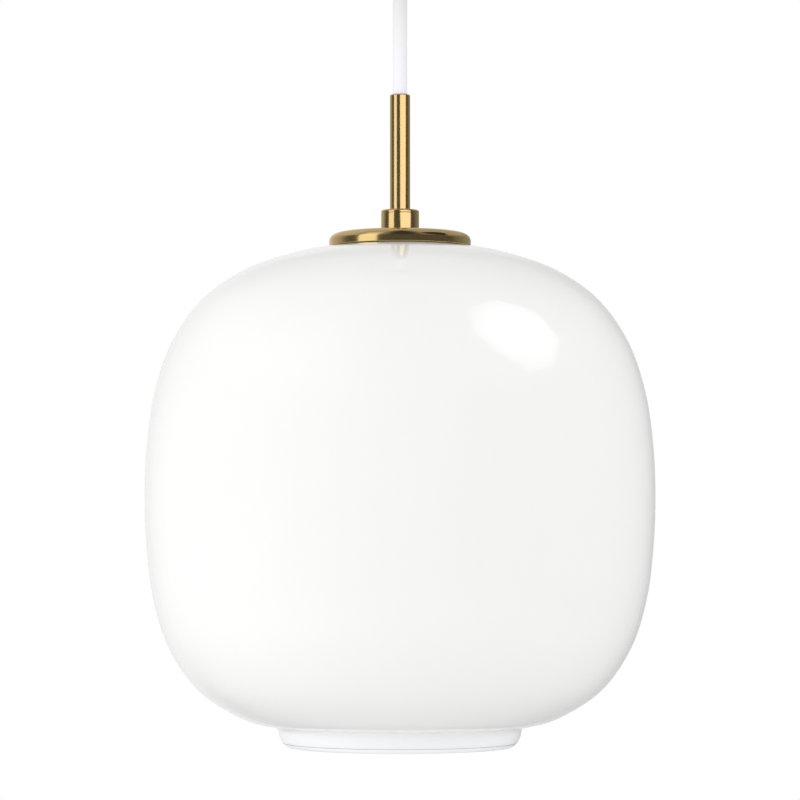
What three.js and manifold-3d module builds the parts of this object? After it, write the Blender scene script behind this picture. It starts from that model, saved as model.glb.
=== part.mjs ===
// Pendant ceiling light: an open-bottomed opal glass shade clamped under a brass cap, hung by a
// brass tube and a round white cord from a ceiling canopy. Millimetres, +Z up. The origin is the
// middle of the ceiling bracket's upper face, so everything hangs below z = 0.

import * as THREE from 'three';
import { mergeVertices } from 'three/addons/utils/BufferGeometryUtils.js';
import Module from 'manifold-3d';

const wasm = await Module();
wasm.setup();

// ---- driving dimensions -------------------------------------------------------------------

const GAP = 0.3;                  // left between any two pieces that touch

// ceiling set
const CANOPY_RADIUS = 48;
const CANOPY_TOP = -1;
const CANOPY_BOTTOM = -48;
const CANOPY_WALL = 1.2;
const CANOPY_CORNER = 7;
const CANOPY_SCREW_Z = -9;
const CANOPY_HEAD_RADIUS = 4.2;   // knurled head of a canopy screw
const CANOPY_HEAD_LENGTH = 5;
const CANOPY_SCREW_REACH = 4;     // how far its shank passes the bracket's outer end
const BRACKET_LENGTH = 86;
const BRACKET_WIDTH = 18;
const BRACKET_THICKNESS = 1.5;
const BRACKET_TAB_DROP = 14;
const BRACKET_SLOT_SPACING = 52;
const BRACKET_SLOT_LENGTH = 12;
const BRACKET_SLOT_WIDTH = 5;
const M4_RADIUS = 2;
const M4_HOLE_RADIUS = 2.3;
const BLOCK_SIZE = [34, 18, 13];  // terminal block
const BLOCK_TOP = -3;
const BLOCK_BOTTOM = BLOCK_TOP - BLOCK_SIZE[2];
const BLOCK_FRONT = -BLOCK_SIZE[1] / 2;
const BLOCK_ENTRY_Z = BLOCK_TOP - BLOCK_SIZE[2] / 2;
const BLOCK_BORE = 1.8;           // wire entry
const POLE_SPACING = 11;
const POLE_SCREW_Y = -4.5;
const POLE_SCREW_RADIUS = 1.9;
const POLE_SCREW_HOLE = 2.3;
const EARTH_SCREW_X = 35;
const GRIP_MOUTH_Z = -62;
const GRIP_THREAD_RADIUS = 5;
const GRIP_FLANGE_RADIUS = 9.5;
const GRIP_NOSE_RADIUS = 6.2;
const GRIP_THREAD_RISE = 11;      // thread above the canopy's floor
const GRIP_NUT_FLATS = 15;
const GRIP_NUT_HEIGHT = 5;
const GRIP_SCREW_Z = GRIP_MOUTH_Z + 6.5;
const GRIP_SCREW_RADIUS = 1.5;

// cord
const CORD_RADIUS = 3.5;
const CORD_BORE = 3.9;            // holes that the cord passes through
const CORD_SIDES = 12;
const CONDUCTOR_RADIUS = 1.1;
const SHEATH_END_Z = -30;         // where the cord's sheath is stripped inside the canopy
const FREE_CORD = 51.3;            // visible cord between the grip and the tube

// lamp, heights measured from the shade's widest plane
const TUBE_TOP = 197.1;
const TUBE_BOTTOM = 104.5;
const TUBE_RADIUS = 5;
const TUBE_BORE = 4.1;
const TUBE_CLEAR = TUBE_RADIUS + GAP;
const COLLAR_RADIUS = 9.4;
const COLLAR_TOP = 140.1;
const COLLAR_SCREW_Z = 135.5;
const COLLAR_SCREW_RADIUS = 1.6;
const CAP_RADIUS = 34.9;
const CAP_TOP = 129.1;
const CAP_LIP_TOP = 124.5;
const CAP_BOTTOM = 122;
const CAP_WALL = 1.2;
const CAP_SIDE_POWER = 13.5;      // of the superellipse that rounds the cap's shoulder
const CAP_TOP_POWER = 1.94;
const SHADE_WALL = 3.5;
const SHADE_HOLE_RADIUS = 19;
const RIM_Z = -123.3;
const RIM_CORNER = 4;
const MOUTH_RADIUS = 51;
const NECK_RADIUS = 59.3;
const SEAT_INNER = 20.5;          // ring on which the shade is clamped
const SEAT_OUTER = 26;
const SEAT_CHAMFER = [3, 0.4];
const PLATE_TOP = 115.6;          // steel plate that clamps the shade from inside
const PLATE_BOTTOM = 113.6;
const PLATE_RADIUS = 32;
const CLAMP_NUT_FLATS = 14;
const CLAMP_NUT_HEIGHT = 3.5;

// Outline of the shade from its top hole to the neck: radius, height over the widest plane.
const SHADE_OUTLINE = [
  [19, 123.2], [34.6, 121.7], [52.4, 118.5], [76.4, 110.1], [97.1, 95.7], [111.8, 75],
  [120.1, 50.9], [123.9, 25.8], [125, 0], [124, -25.2], [120.8, -50.3], [113.1, -74.6],
  [98.6, -95.4], [77.5, -109.1], [59.6, -113.9],
];

// lampholder and bulb, E27
const HOLDER_RADIUS = 20.5;
const HOLDER_TOP = 109.2;
const HOLDER_JOIN = 93;           // where the dome and the skirt meet
const HOLDER_BOTTOM = 56;
const HOLDER_WALL = 1.8;
const HOLDER_SHOULDER = 12;       // radius of the dome's shoulder
const CORE_TOP = 92;
const CORE_BOTTOM = 82;
const CONTACT_POCKET = 1.4;       // pocket in the core above the centre contact
const SHELL_INNER = 13.7;
const SHELL_WALL = 0.6;
const SHELL_BOTTOM = 60;
const CONTACT_Z = 79.4;
const BULB_TIP_Z = 78.9;
const BULB_CAP_RADIUS = 13.1;
const BULB_CAP_TOP = 73;
const BULB_CAP_BOTTOM = 51;
const BULB_RADIUS = 30;
const BULB_SPLIT = 15;            // where the housing ends and the diffuser starts
const BULB_BOTTOM = -31;
const BULB_WALL = 1.4;

const THREAD_PITCH = 3.63;
const THREAD_RIDGE = 0.9;
const BOARD_RADIUS = 24;
const BOARD_THICKNESS = 1.6;

const TUBE_TOP_Z = GRIP_MOUTH_Z - FREE_CORD;
const LAMP_Z = TUBE_TOP_Z - TUBE_TOP;

const LARGE = 36;                 // facets round a piece, by its size
const MEDIUM = 24;
const SMALL = 12;

// ---- materials ----------------------------------------------------------------------------

const FINISHES = {
  brass: { color: 0xb48a4c, roughness: 0.32, metalness: 1 },
  opal: { color: 0xf1f0ec, roughness: 0.08, metalness: 0 },
  cordWhite: { color: 0xf0f0f2, roughness: 0.4, metalness: 0 },
  nylon: { color: 0xeceae4, roughness: 0.5, metalness: 0 },
  steel: { color: 0xb9bcc0, roughness: 0.38, metalness: 1 },
  silicone: { color: 0xd9d9d6, roughness: 0.65, metalness: 0 },
  ceramic: { color: 0xefece5, roughness: 0.3, metalness: 0 },
  holder: { color: 0xf3f2ee, roughness: 0.35, metalness: 0 },
  contact: { color: 0xc79a4f, roughness: 0.3, metalness: 1 },
  bulbCap: { color: 0xc9cbcd, roughness: 0.28, metalness: 1 },
  bulbBlack: { color: 0x17181a, roughness: 0.25, metalness: 0 },
  bulbWhite: { color: 0xf4f3ef, roughness: 0.4, metalness: 0 },
  board: { color: 0xe6e6e2, roughness: 0.45, metalness: 0.2 },
  live: { color: 0x6b3f22, roughness: 0.45, metalness: 0 },
  neutral: { color: 0x2b5fae, roughness: 0.45, metalness: 0 },
  earth: { color: 0x6f9a2a, roughness: 0.45, metalness: 0 },
};

// ---- geometry helpers ---------------------------------------------------------------------

function piece(name, finish, geometry) {
  const mesh = new THREE.Mesh(geometry, new THREE.MeshStandardMaterial(FINISHES[finish]));
  mesh.name = name;
  return mesh;
}

// Turns a profile of [radius, height] points about Z. It starts and ends on the axis, or closes.
function turned(profile, facets) {
  const points = profile.map(([radius, height]) => new THREE.Vector2(radius, height));
  if (THREE.ShapeUtils.area(points) < 0) points.reverse();
  const closesOnAxis = points[0].x === 0 && points.at(-1).x === 0;
  if (!closesOnAxis) points.push(points[0].clone());
  const geometry = new THREE.LatheGeometry(points, facets);
  geometry.rotateX(Math.PI / 2);
  return geometry;
}

function ring(inner, outer, bottom, top, facets) {
  return turned([[inner, bottom], [outer, bottom], [outer, top], [inner, top]], facets);
}

// Points of an arc in the profile plane, angles in degrees from +radius towards +height.
function arc(centre, radius, from, to, steps) {
  const points = [];
  for (let i = 0; i <= steps; i += 1) {
    const angle = THREE.MathUtils.degToRad(from + ((to - from) * i) / steps);
    points.push([centre[0] + radius * Math.cos(angle), centre[1] + radius * Math.sin(angle)]);
  }
  return points;
}

function rod(radius, length, facets) {
  return new THREE.CylinderGeometry(radius, radius, length, facets);
}

// A round bar between two points.
function bar(from, to, radius, facets) {
  const start = new THREE.Vector3(...from);
  const end = new THREE.Vector3(...to);
  const along = end.clone().sub(start);
  const geometry = rod(radius, along.length(), facets);
  const turn = new THREE.Quaternion();
  turn.setFromUnitVectors(new THREE.Vector3(0, 1, 0), along.clone().normalize());
  geometry.applyQuaternion(turn);
  const middle = start.add(end).multiplyScalar(0.5);
  geometry.translate(middle.x, middle.y, middle.z);
  return geometry;
}

// The same bar lying along X at the height of the canopy's screws.
function crossBar(fromX, toX, radius) {
  return bar([fromX, 0, CANOPY_SCREW_Z], [toX, 0, CANOPY_SCREW_Z], radius, SMALL);
}

// The same bar lying along Y.
function depthBar(fromY, toY, height, radius) {
  return bar([0, fromY, height], [0, toY, height], radius, SMALL);
}

function polygon(radius, sides, phase = 0) {
  const points = [];
  for (let i = 0; i < sides; i += 1) {
    const angle = phase + (i / sides) * 2 * Math.PI;
    points.push(new THREE.Vector2(radius * Math.cos(angle), radius * Math.sin(angle)));
  }
  return points;
}

function slab(outline, holes, bottom, top) {
  const shape = new THREE.Shape(outline);
  holes.forEach((hole) => shape.holes.push(new THREE.Path(hole)));
  const geometry = new THREE.ExtrudeGeometry(shape, { depth: top - bottom, bevelEnabled: false });
  geometry.translate(0, 0, bottom);
  return geometry;
}

function hexNut(acrossFlats, bore, bottom, top) {
  const corner = acrossFlats / Math.sqrt(3);
  return slab(polygon(corner, 6), [polygon(bore, SMALL)], bottom, top);
}

// A round cord or wire along a smooth curve through the points.
function strand(points, radius, sides, steps) {
  const path = new THREE.CatmullRomCurve3(points.map((point) => new THREE.Vector3(...point)));
  const section = new THREE.Shape(polygon(radius, sides));
  const settings = { steps, bevelEnabled: false, extrudePath: path };
  return new THREE.ExtrudeGeometry(section, settings);
}

function toSolid(geometry) {
  const bare = geometry.clone();
  bare.deleteAttribute('normal');
  bare.deleteAttribute('uv');
  const merged = mergeVertices(bare, 1e-4);
  return new wasm.Manifold(new wasm.Mesh({
    numProp: 3,
    vertProperties: new Float32Array(merged.attributes.position.array),
    triVerts: new Uint32Array(merged.index.array),
  }));
}

function toGeometry(solid) {
  const mesh = solid.getMesh();
  const geometry = new THREE.BufferGeometry();
  geometry.setAttribute('position', new THREE.BufferAttribute(mesh.vertProperties, 3));
  geometry.setIndex(new THREE.BufferAttribute(mesh.triVerts, 1));
  geometry.computeVertexNormals();
  return geometry;
}

function cut(body, ...tools) {
  const solid = tools.reduce((rest, tool) => rest.subtract(toSolid(tool)), toSolid(body));
  return toGeometry(solid);
}

function joined(body, ...others) {
  const solid = others.reduce((whole, other) => whole.add(toSolid(other)), toSolid(body));
  return toGeometry(solid);
}

// ---- ceiling set --------------------------------------------------------------------------

function slotOutline(centreX) {
  const radius = BRACKET_SLOT_WIDTH / 2;
  const reach = BRACKET_SLOT_LENGTH / 2 - radius;
  const points = [];
  for (const [side, start] of [[1, -90], [-1, 90]]) {
    for (const [dx, dy] of arc([0, 0], radius, start, start + 180, 6)) {
      points.push(new THREE.Vector2(centreX + side * reach + dx, dy));
    }
  }
  return points;
}

// A steel strap with both ends bent down, two slots for the ceiling screws and tapped tabs.
function ceilingBracket() {
  const end = BRACKET_LENGTH / 2;
  const half = BRACKET_WIDTH / 2;
  const outline = [
    new THREE.Vector2(-end, -half), new THREE.Vector2(end, -half),
    new THREE.Vector2(end, half), new THREE.Vector2(-end, half),
  ];
  const slots = [-1, 1].map((side) => slotOutline((side * BRACKET_SLOT_SPACING) / 2));
  const strap = slab(outline, slots, -BRACKET_THICKNESS, 0);
  const tabs = [-1, 1].map((side) => {
    const tab = new THREE.BoxGeometry(BRACKET_THICKNESS, BRACKET_WIDTH, BRACKET_TAB_DROP);
    tab.translate(side * (end - BRACKET_THICKNESS / 2), 0, -BRACKET_TAB_DROP / 2);
    return tab;
  });
  const reach = end + 1;
  return cut(joined(strap, ...tabs), crossBar(-reach, reach, M4_HOLE_RADIUS));
}

// The open-topped cup that hides the bracket, with a hole for the cord grip and two side holes.
function canopyCup() {
  const corner = [CANOPY_RADIUS - CANOPY_CORNER, CANOPY_BOTTOM + CANOPY_CORNER];
  const profile = [
    [GRIP_THREAD_RADIUS + GAP, CANOPY_BOTTOM],
    ...arc(corner, CANOPY_CORNER, -90, 0, 4),
    [CANOPY_RADIUS, CANOPY_TOP],
    [CANOPY_RADIUS - CANOPY_WALL, CANOPY_TOP],
    ...arc(corner, CANOPY_CORNER - CANOPY_WALL, 0, -90, 4),
    [GRIP_THREAD_RADIUS + GAP, CANOPY_BOTTOM + CANOPY_WALL],
  ];
  const reach = CANOPY_RADIUS + 2;
  return cut(turned(profile, LARGE), crossBar(-reach, reach, M4_HOLE_RADIUS));
}

function canopyScrew(side) {
  const seat = CANOPY_RADIUS + GAP;
  const head = crossBar(side * seat, side * (seat + CANOPY_HEAD_LENGTH), CANOPY_HEAD_RADIUS);
  const tip = BRACKET_LENGTH / 2 - CANOPY_SCREW_REACH;
  return joined(head, crossBar(side * tip, side * (seat + 1), M4_RADIUS));
}

function polePositions() {
  return [-POLE_SPACING, 0, POLE_SPACING];
}

function terminalBlock() {
  const block = new THREE.BoxGeometry(...BLOCK_SIZE);
  block.translate(0, 0, (BLOCK_TOP + BLOCK_BOTTOM) / 2);
  const bores = polePositions().flatMap((x) => [
    depthBar(BLOCK_FRONT - 1, -BLOCK_FRONT + 1, BLOCK_ENTRY_Z, BLOCK_BORE).translate(x, 0, 0),
    bar([x, POLE_SCREW_Y, BLOCK_BOTTOM - 1], [x, POLE_SCREW_Y, BLOCK_ENTRY_Z], POLE_SCREW_HOLE, SMALL),
  ]);
  return cut(block, ...bores);
}

function terminalScrew(x) {
  const head = [x, POLE_SCREW_Y, BLOCK_BOTTOM + 0.4];
  return bar(head, [x, POLE_SCREW_Y, BLOCK_ENTRY_Z - 1.9], POLE_SCREW_RADIUS, SMALL);
}

function earthScrew() {
  const seat = -BRACKET_THICKNESS - GAP;
  const head = [[0, seat - 2.4], [3, seat - 2.4], [3.8, seat - 1.6], [3.8, seat], [0, seat]];
  return turned(head, SMALL).translate(EARTH_SCREW_X, 0, 0);
}

// White nylon gland: a threaded neck through the canopy, a flange and a tapering nose.
function gripBody() {
  const seat = CANOPY_BOTTOM - GAP;
  const profile = [
    [CORD_BORE, GRIP_MOUTH_Z + 2],
    [CORD_BORE + 1.1, GRIP_MOUTH_Z],
    [GRIP_NOSE_RADIUS, GRIP_MOUTH_Z],
    [GRIP_NOSE_RADIUS + 0.8, GRIP_MOUTH_Z + 1],
    [GRIP_FLANGE_RADIUS - 1.5, seat - 4],
    [GRIP_FLANGE_RADIUS, seat - 3],
    [GRIP_FLANGE_RADIUS, seat],
    [GRIP_THREAD_RADIUS, seat],
    [GRIP_THREAD_RADIUS, CANOPY_BOTTOM + GRIP_THREAD_RISE],
    [CORD_BORE, CANOPY_BOTTOM + GRIP_THREAD_RISE],
  ];
  const holeEnd = GRIP_FLANGE_RADIUS + 2.5;
  const screwHole = depthBar(CORD_BORE - 1, holeEnd, GRIP_SCREW_Z, GRIP_SCREW_RADIUS + GAP);
  return cut(turned(profile, MEDIUM), screwHole);
}

function gripScrew() {
  return depthBar(CORD_RADIUS + GAP, GRIP_FLANGE_RADIUS - 0.9, GRIP_SCREW_Z, GRIP_SCREW_RADIUS);
}

function ceilingSet() {
  const set = new THREE.Group();
  set.add(piece('ceiling_bracket', 'steel', ceilingBracket()));
  set.add(piece('canopy', 'brass', canopyCup()));
  set.add(piece('canopy_screw_left', 'brass', canopyScrew(-1)));
  set.add(piece('canopy_screw_right', 'brass', canopyScrew(1)));
  set.add(piece('terminal_block', 'nylon', terminalBlock()));
  polePositions().forEach((x, index) => {
    set.add(piece(`terminal_screw_${index + 1}`, 'contact', terminalScrew(x)));
  });
  set.add(piece('earth_screw', 'contact', earthScrew()));
  set.add(piece('cord_grip_body', 'nylon', gripBody()));
  const nutBottom = CANOPY_BOTTOM + CANOPY_WALL + GAP;
  const nutTop = nutBottom + GRIP_NUT_HEIGHT;
  const nut = hexNut(GRIP_NUT_FLATS, GRIP_THREAD_RADIUS + GAP, nutBottom, nutTop);
  set.add(piece('cord_grip_nut', 'nylon', nut));
  set.add(piece('cord_grip_screw', 'steel', gripScrew()));
  return set;
}

// The mains wires inside the canopy: the cord's sheath end and its three conductors, which run
// to the terminal block, and a link from the block's middle pole to the bracket's earth screw.
function ceilingWiring() {
  const set = new THREE.Group();
  const sheath = [[0, 0, GRIP_MOUTH_Z + 2.5], [0, 0, SHEATH_END_Z]];
  set.add(piece('cord_tail', 'cordWhite', strand(sheath, CORD_RADIUS, CORD_SIDES, 2)));
  ['live', 'earth', 'neutral'].forEach((finish, index) => {
    const x = polePositions()[index];
    const start = (index - 1) * 2.3;
    const route = [
      [start, index === 1 ? -1.8 : 0.6, SHEATH_END_Z + GAP],
      [start, index === 1 ? -2.5 : -0.5, SHEATH_END_Z + 4],
      [x * 0.8, -11, SHEATH_END_Z + 8],
      [x, -15.5, BLOCK_ENTRY_Z - 5],
      [x, -13.5, BLOCK_ENTRY_Z - 0.5],
      [x, BLOCK_FRONT - 1, BLOCK_ENTRY_Z],
      [x, POLE_SCREW_Y - 1, BLOCK_ENTRY_Z],
    ];
    set.add(piece(`conductor_${finish}`, finish, strand(route, CONDUCTOR_RADIUS, 8, 14)));
  });
  const linkRoute = [
    [0, 5, BLOCK_ENTRY_Z], [0, 10.5, BLOCK_ENTRY_Z], [6, 14, BLOCK_ENTRY_Z],
    [20, 13, -7], [30, 7.5, -4.6], [33, 5.2, -3.4],
  ];
  set.add(piece('earth_link', 'earth', strand(linkRoute, CONDUCTOR_RADIUS, 8, 14)));
  return set;
}

// ---- cord ---------------------------------------------------------------------------------

// The free cord hangs straight and taut between the grip's mouth and the tube's mouth.
function freeCord() {
  const route = [[0, 0, GRIP_MOUTH_Z + 0.5], [0, 0, TUBE_TOP_Z + 0.2]];
  return piece('cord', 'cordWhite', strand(route, CORD_RADIUS, CORD_SIDES, 4));
}

// ---- tube, cap and shade ------------------------------------------------------------------

function stemTube() {
  const chamfer = 0.3;
  return turned([
    [TUBE_BORE, TUBE_BOTTOM], [TUBE_RADIUS, TUBE_BOTTOM],
    [TUBE_RADIUS, TUBE_TOP - chamfer], [TUBE_RADIUS - chamfer, TUBE_TOP],
    [TUBE_BORE, TUBE_TOP],
  ], MEDIUM);
}

function stemCollar() {
  const edge = 0.7;
  const bottom = CAP_TOP + GAP;
  const body = turned([
    [TUBE_CLEAR, bottom], [COLLAR_RADIUS, bottom],
    ...arc([COLLAR_RADIUS - edge, COLLAR_TOP - edge], edge, 0, 90, 3),
    [TUBE_CLEAR, COLLAR_TOP],
  ], MEDIUM);
  const tapping = COLLAR_SCREW_RADIUS + GAP;
  return cut(body, depthBar(TUBE_RADIUS - 1, COLLAR_RADIUS + 2, COLLAR_SCREW_Z, tapping));
}

// The shoulder of the cap is a superellipse quarter: flat on top, round at its edge.
function capShoulder(radius, rise) {
  const points = [];
  const steps = 8;
  for (let i = 0; i <= steps; i += 1) {
    const angle = (i / steps) * 0.5 * Math.PI;
    const across = Math.cos(angle) ** (2 / CAP_SIDE_POWER);
    const up = Math.sin(angle) ** (2 / CAP_TOP_POWER);
    points.push([radius * across, CAP_LIP_TOP + rise * up]);
  }
  return points.filter(([across]) => across > radius * 0.3);
}

function topCap() {
  const outer = capShoulder(CAP_RADIUS, CAP_TOP - CAP_LIP_TOP);
  const inner = capShoulder(CAP_RADIUS - CAP_WALL, CAP_TOP - CAP_WALL - CAP_LIP_TOP);
  return turned([
    [CAP_RADIUS, CAP_BOTTOM],
    ...outer,
    [TUBE_CLEAR, CAP_TOP],
    [TUBE_CLEAR, CAP_TOP - CAP_WALL],
    ...inner.reverse(),
    [CAP_RADIUS - CAP_WALL, CAP_BOTTOM],
  ], MEDIUM);
}

function shadeOutside(steps) {
  const curve = new THREE.SplineCurve(SHADE_OUTLINE.map((point) => new THREE.Vector2(...point)));
  const points = [];
  for (let i = 0; i <= steps; i += 1) {
    const place = curve.getPoint(i / steps);
    const along = curve.getTangent(i / steps);
    points.push({ place, inward: new THREE.Vector2(along.y, -along.x) });
  }
  return points;
}

// Blown opal shade: a hole at the top for the fittings, and a short open neck with a round
// lower edge at the bottom.
function glassShade() {
  const outside = shadeOutside(17).map(({ place }) => [place.x, place.y]);
  const inside = shadeOutside(12).map(({ place, inward }) => {
    const point = place.clone().addScaledVector(inward, SHADE_WALL);
    return [Math.max(point.x, SHADE_HOLE_RADIUS), point.y];
  });
  const neckTop = SHADE_OUTLINE.at(-1)[1] - 1;
  const neckInner = neckTop + 1;
  const profile = [
    ...outside,
    [NECK_RADIUS, neckTop],
    ...arc([NECK_RADIUS - 0.6 - RIM_CORNER, RIM_Z + RIM_CORNER], RIM_CORNER, 0, -90, 3),
    [MOUTH_RADIUS, RIM_Z],
    [MOUTH_RADIUS, neckInner],
    [MOUTH_RADIUS + 2, neckInner + 2.4],
    ...inside.reverse(),
  ];
  return turned(profile, LARGE);
}

function outsideHeight(radius) {
  const [[innerRadius, innerHeight], [outerRadius, outerHeight]] = SHADE_OUTLINE;
  const share = (radius - innerRadius) / (outerRadius - innerRadius);
  return innerHeight + share * (outerHeight - innerHeight);
}

function insideHeight(radius) {
  return outsideHeight(radius) - SHADE_WALL - 0.15;
}

// A ring with one flat face and one that follows the glass; its outer flat edge is chamfered.
function seatRing(height, flat) {
  const [across, down] = SEAT_CHAMFER;
  const edge = flat > height(SEAT_OUTER) ? flat - down : flat + down;
  return turned([
    [SEAT_INNER, height(SEAT_INNER)], [SEAT_OUTER, height(SEAT_OUTER)],
    [SEAT_OUTER, edge], [SEAT_OUTER - across, flat], [SEAT_INNER, flat],
  ], MEDIUM);
}

function shadeSet() {
  const set = new THREE.Group();
  const capCeiling = CAP_TOP - CAP_WALL;
  set.add(piece('stem_tube', 'brass', stemTube()));
  set.add(piece('stem_collar', 'brass', stemCollar()));
  const screwEnd = COLLAR_RADIUS - GAP;
  const screw = depthBar(TUBE_CLEAR + 0.1, screwEnd, COLLAR_SCREW_Z, COLLAR_SCREW_RADIUS);
  set.add(piece('collar_screw', 'steel', screw));
  set.add(piece('top_cap', 'brass', topCap()));
  const upperSeat = seatRing((radius) => outsideHeight(radius) + 2 * GAP, capCeiling - 0.5);
  set.add(piece('gasket_top', 'silicone', upperSeat));
  set.add(piece('glass_shade', 'opal', glassShade()));
  const lowerSeat = seatRing((radius) => insideHeight(radius) - 2 * GAP, PLATE_TOP + GAP);
  set.add(piece('gasket_bottom', 'silicone', lowerSeat));
  const bush = ring(TUBE_CLEAR, SHADE_HOLE_RADIUS - 0.5, PLATE_TOP + GAP, capCeiling - GAP, MEDIUM);
  set.add(piece('centring_bush', 'nylon', bush));
  const plate = ring(TUBE_CLEAR, PLATE_RADIUS, PLATE_BOTTOM, PLATE_TOP, MEDIUM);
  set.add(piece('clamp_plate', 'steel', plate));
  const nutTop = PLATE_BOTTOM - GAP;
  const nut = hexNut(CLAMP_NUT_FLATS, TUBE_CLEAR, nutTop - CLAMP_NUT_HEIGHT, nutTop);
  set.add(piece('clamp_nut', 'steel', nut));
  return set;
}

// ---- lampholder ---------------------------------------------------------------------------

function holderDome() {
  const inner = HOLDER_RADIUS - HOLDER_WALL;
  const rise = HOLDER_TOP - HOLDER_JOIN;
  const shoulder = [HOLDER_RADIUS - HOLDER_SHOULDER, HOLDER_TOP - HOLDER_SHOULDER];
  const body = turned([
    [HOLDER_RADIUS, HOLDER_JOIN],
    ...arc(shoulder, HOLDER_SHOULDER, 0, 90, 4),
    [TUBE_CLEAR, HOLDER_TOP],
    [TUBE_CLEAR, HOLDER_TOP - HOLDER_WALL],
    ...arc(shoulder, HOLDER_SHOULDER - HOLDER_WALL, 90, 0, 4),
    [inner, HOLDER_JOIN],
  ], MEDIUM);
  const neck = ring(TUBE_CLEAR, TUBE_CLEAR + 2.5, HOLDER_TOP - rise * 0.35, HOLDER_TOP - 1, MEDIUM);
  return joined(body, neck);
}

function holderSkirt() {
  const inner = HOLDER_RADIUS - HOLDER_WALL;
  const top = HOLDER_JOIN - GAP;
  return turned([
    [inner, HOLDER_BOTTOM + 3],
    [inner - 2, HOLDER_BOTTOM],
    [HOLDER_RADIUS - 2, HOLDER_BOTTOM],
    [HOLDER_RADIUS, HOLDER_BOTTOM + 3],
    [HOLDER_RADIUS, top],
    [inner, top],
  ], MEDIUM);
}

// Ceramic core, with a pocket in its underside for the sprung centre contact.
function holderCore() {
  const outer = HOLDER_RADIUS - HOLDER_WALL - GAP;
  const pocket = CORE_BOTTOM + CONTACT_POCKET;
  return turned([
    [0, pocket], [5, pocket],
    [5, CORE_BOTTOM], [outer, CORE_BOTTOM], [outer, CORE_TOP], [0, CORE_TOP],
  ], MEDIUM);
}

// Threaded brass shell that the bulb's cap turns in, with an inward flange against the core.
function holderShell() {
  const top = CORE_BOTTOM - GAP;
  const outer = SHELL_INNER + SHELL_WALL;
  return turned([
    [SHELL_INNER, SHELL_BOTTOM], [outer, SHELL_BOTTOM], [outer, top],
    [9, top], [9, top - SHELL_WALL], [SHELL_INNER, top - SHELL_WALL],
  ], MEDIUM);
}

function centreContact() {
  return turned([
    [0, CONTACT_Z], [2.2, CONTACT_Z], [3.4, CONTACT_Z + 0.6], [3.4, CONTACT_Z + 1.2],
    [1.5, CONTACT_Z + 1.2], [1.5, CORE_BOTTOM + 0.2], [0, CORE_BOTTOM + 0.2],
  ], SMALL);
}

function holderTerminals() {
  const places = [[-10, 0], [10, 0], [0, 10]];
  const bottom = CORE_TOP + GAP;
  const top = bottom + 2.8;
  const profile = [[0, bottom], [2.4, bottom], [2.4, top - 0.6], [1.8, top], [0, top]];
  return places.map(([x, y], index) => {
    const screw = turned(profile, SMALL).translate(x, y, 0);
    return piece(`holder_terminal_${index + 1}`, 'contact', screw);
  });
}

function holderSet() {
  const set = new THREE.Group();
  set.add(piece('holder_dome', 'holder', holderDome()));
  set.add(piece('holder_skirt', 'holder', holderSkirt()));
  set.add(piece('holder_core', 'ceramic', holderCore()));
  set.add(piece('holder_shell', 'contact', holderShell()));
  set.add(piece('centre_contact', 'contact', centreContact()));
  set.add(...holderTerminals());
  return set;
}

// The cord inside the tube and its conductors, stripped below the tube's lower end.
function lampWiring() {
  const set = new THREE.Group();
  const sheathEnd = TUBE_BOTTOM - 0.5;
  const sheath = [[0, 0, sheathEnd], [0, 0, TUBE_TOP - 1]];
  set.add(piece('inner_cord', 'cordWhite', strand(sheath, CORD_RADIUS, CORD_SIDES, 4)));
  const top = sheathEnd - GAP;
  const end = CORE_TOP + 1.6;
  const sideRoute = (side) => [
    [2 * side, 0, top], [2 * side, -0.1, top - 1.4], [4 * side, -2.4, top - 4],
    [8 * side, -4.6, top - 7], [10.6 * side, -4.8, end],
  ];
  const backRoute = [
    [0, 2, top], [0.1, 2.1, top - 1.4], [1.6, 4.4, top - 4], [4, 8, top - 7], [4.6, 10.4, end],
  ];
  const routes = { live: sideRoute(-1), neutral: sideRoute(1), earth: backRoute };
  for (const [finish, route] of Object.entries(routes)) {
    set.add(piece(`inner_${finish}`, finish, strand(route, CONDUCTOR_RADIUS, 8, 8)));
  }
  return set;
}

// ---- bulb ---------------------------------------------------------------------------------

function bulbCap() {
  const wall = 0.5;
  const turns = 3;
  const threadTop = BULB_CAP_TOP - 3;
  const root = BULB_CAP_RADIUS - THREAD_RIDGE;
  const profile = [[root, BULB_CAP_TOP - 0.5], [BULB_CAP_RADIUS - 2, BULB_CAP_TOP]];
  const thread = [];
  for (let i = 0; i < turns; i += 1) {
    const crest = threadTop - i * THREAD_PITCH;
    thread.push([BULB_CAP_RADIUS, crest], [root, crest - THREAD_PITCH / 2]);
  }
  const bore = root - wall;
  return turned([
    [bore, BULB_CAP_TOP - 1], ...profile.reverse(), ...thread,
    [BULB_CAP_RADIUS, BULB_CAP_BOTTOM + 3], [BULB_CAP_RADIUS, BULB_CAP_BOTTOM], [bore, BULB_CAP_BOTTOM],
  ], MEDIUM);
}

function bulbInsulator() {
  return turned([
    [5.2, BULB_CAP_TOP + GAP], [BULB_CAP_RADIUS - 2, BULB_CAP_TOP + GAP],
    [7, BULB_TIP_Z - 1.6], [5.2, BULB_TIP_Z - 1.6],
  ], MEDIUM);
}

function bulbTip() {
  return turned([
    [0, BULB_CAP_TOP + GAP], [4.9, BULB_CAP_TOP + GAP], [4.9, BULB_TIP_Z - 1.2],
    [3, BULB_TIP_Z - 0.2], [0, BULB_TIP_Z],
  ], SMALL);
}

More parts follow.
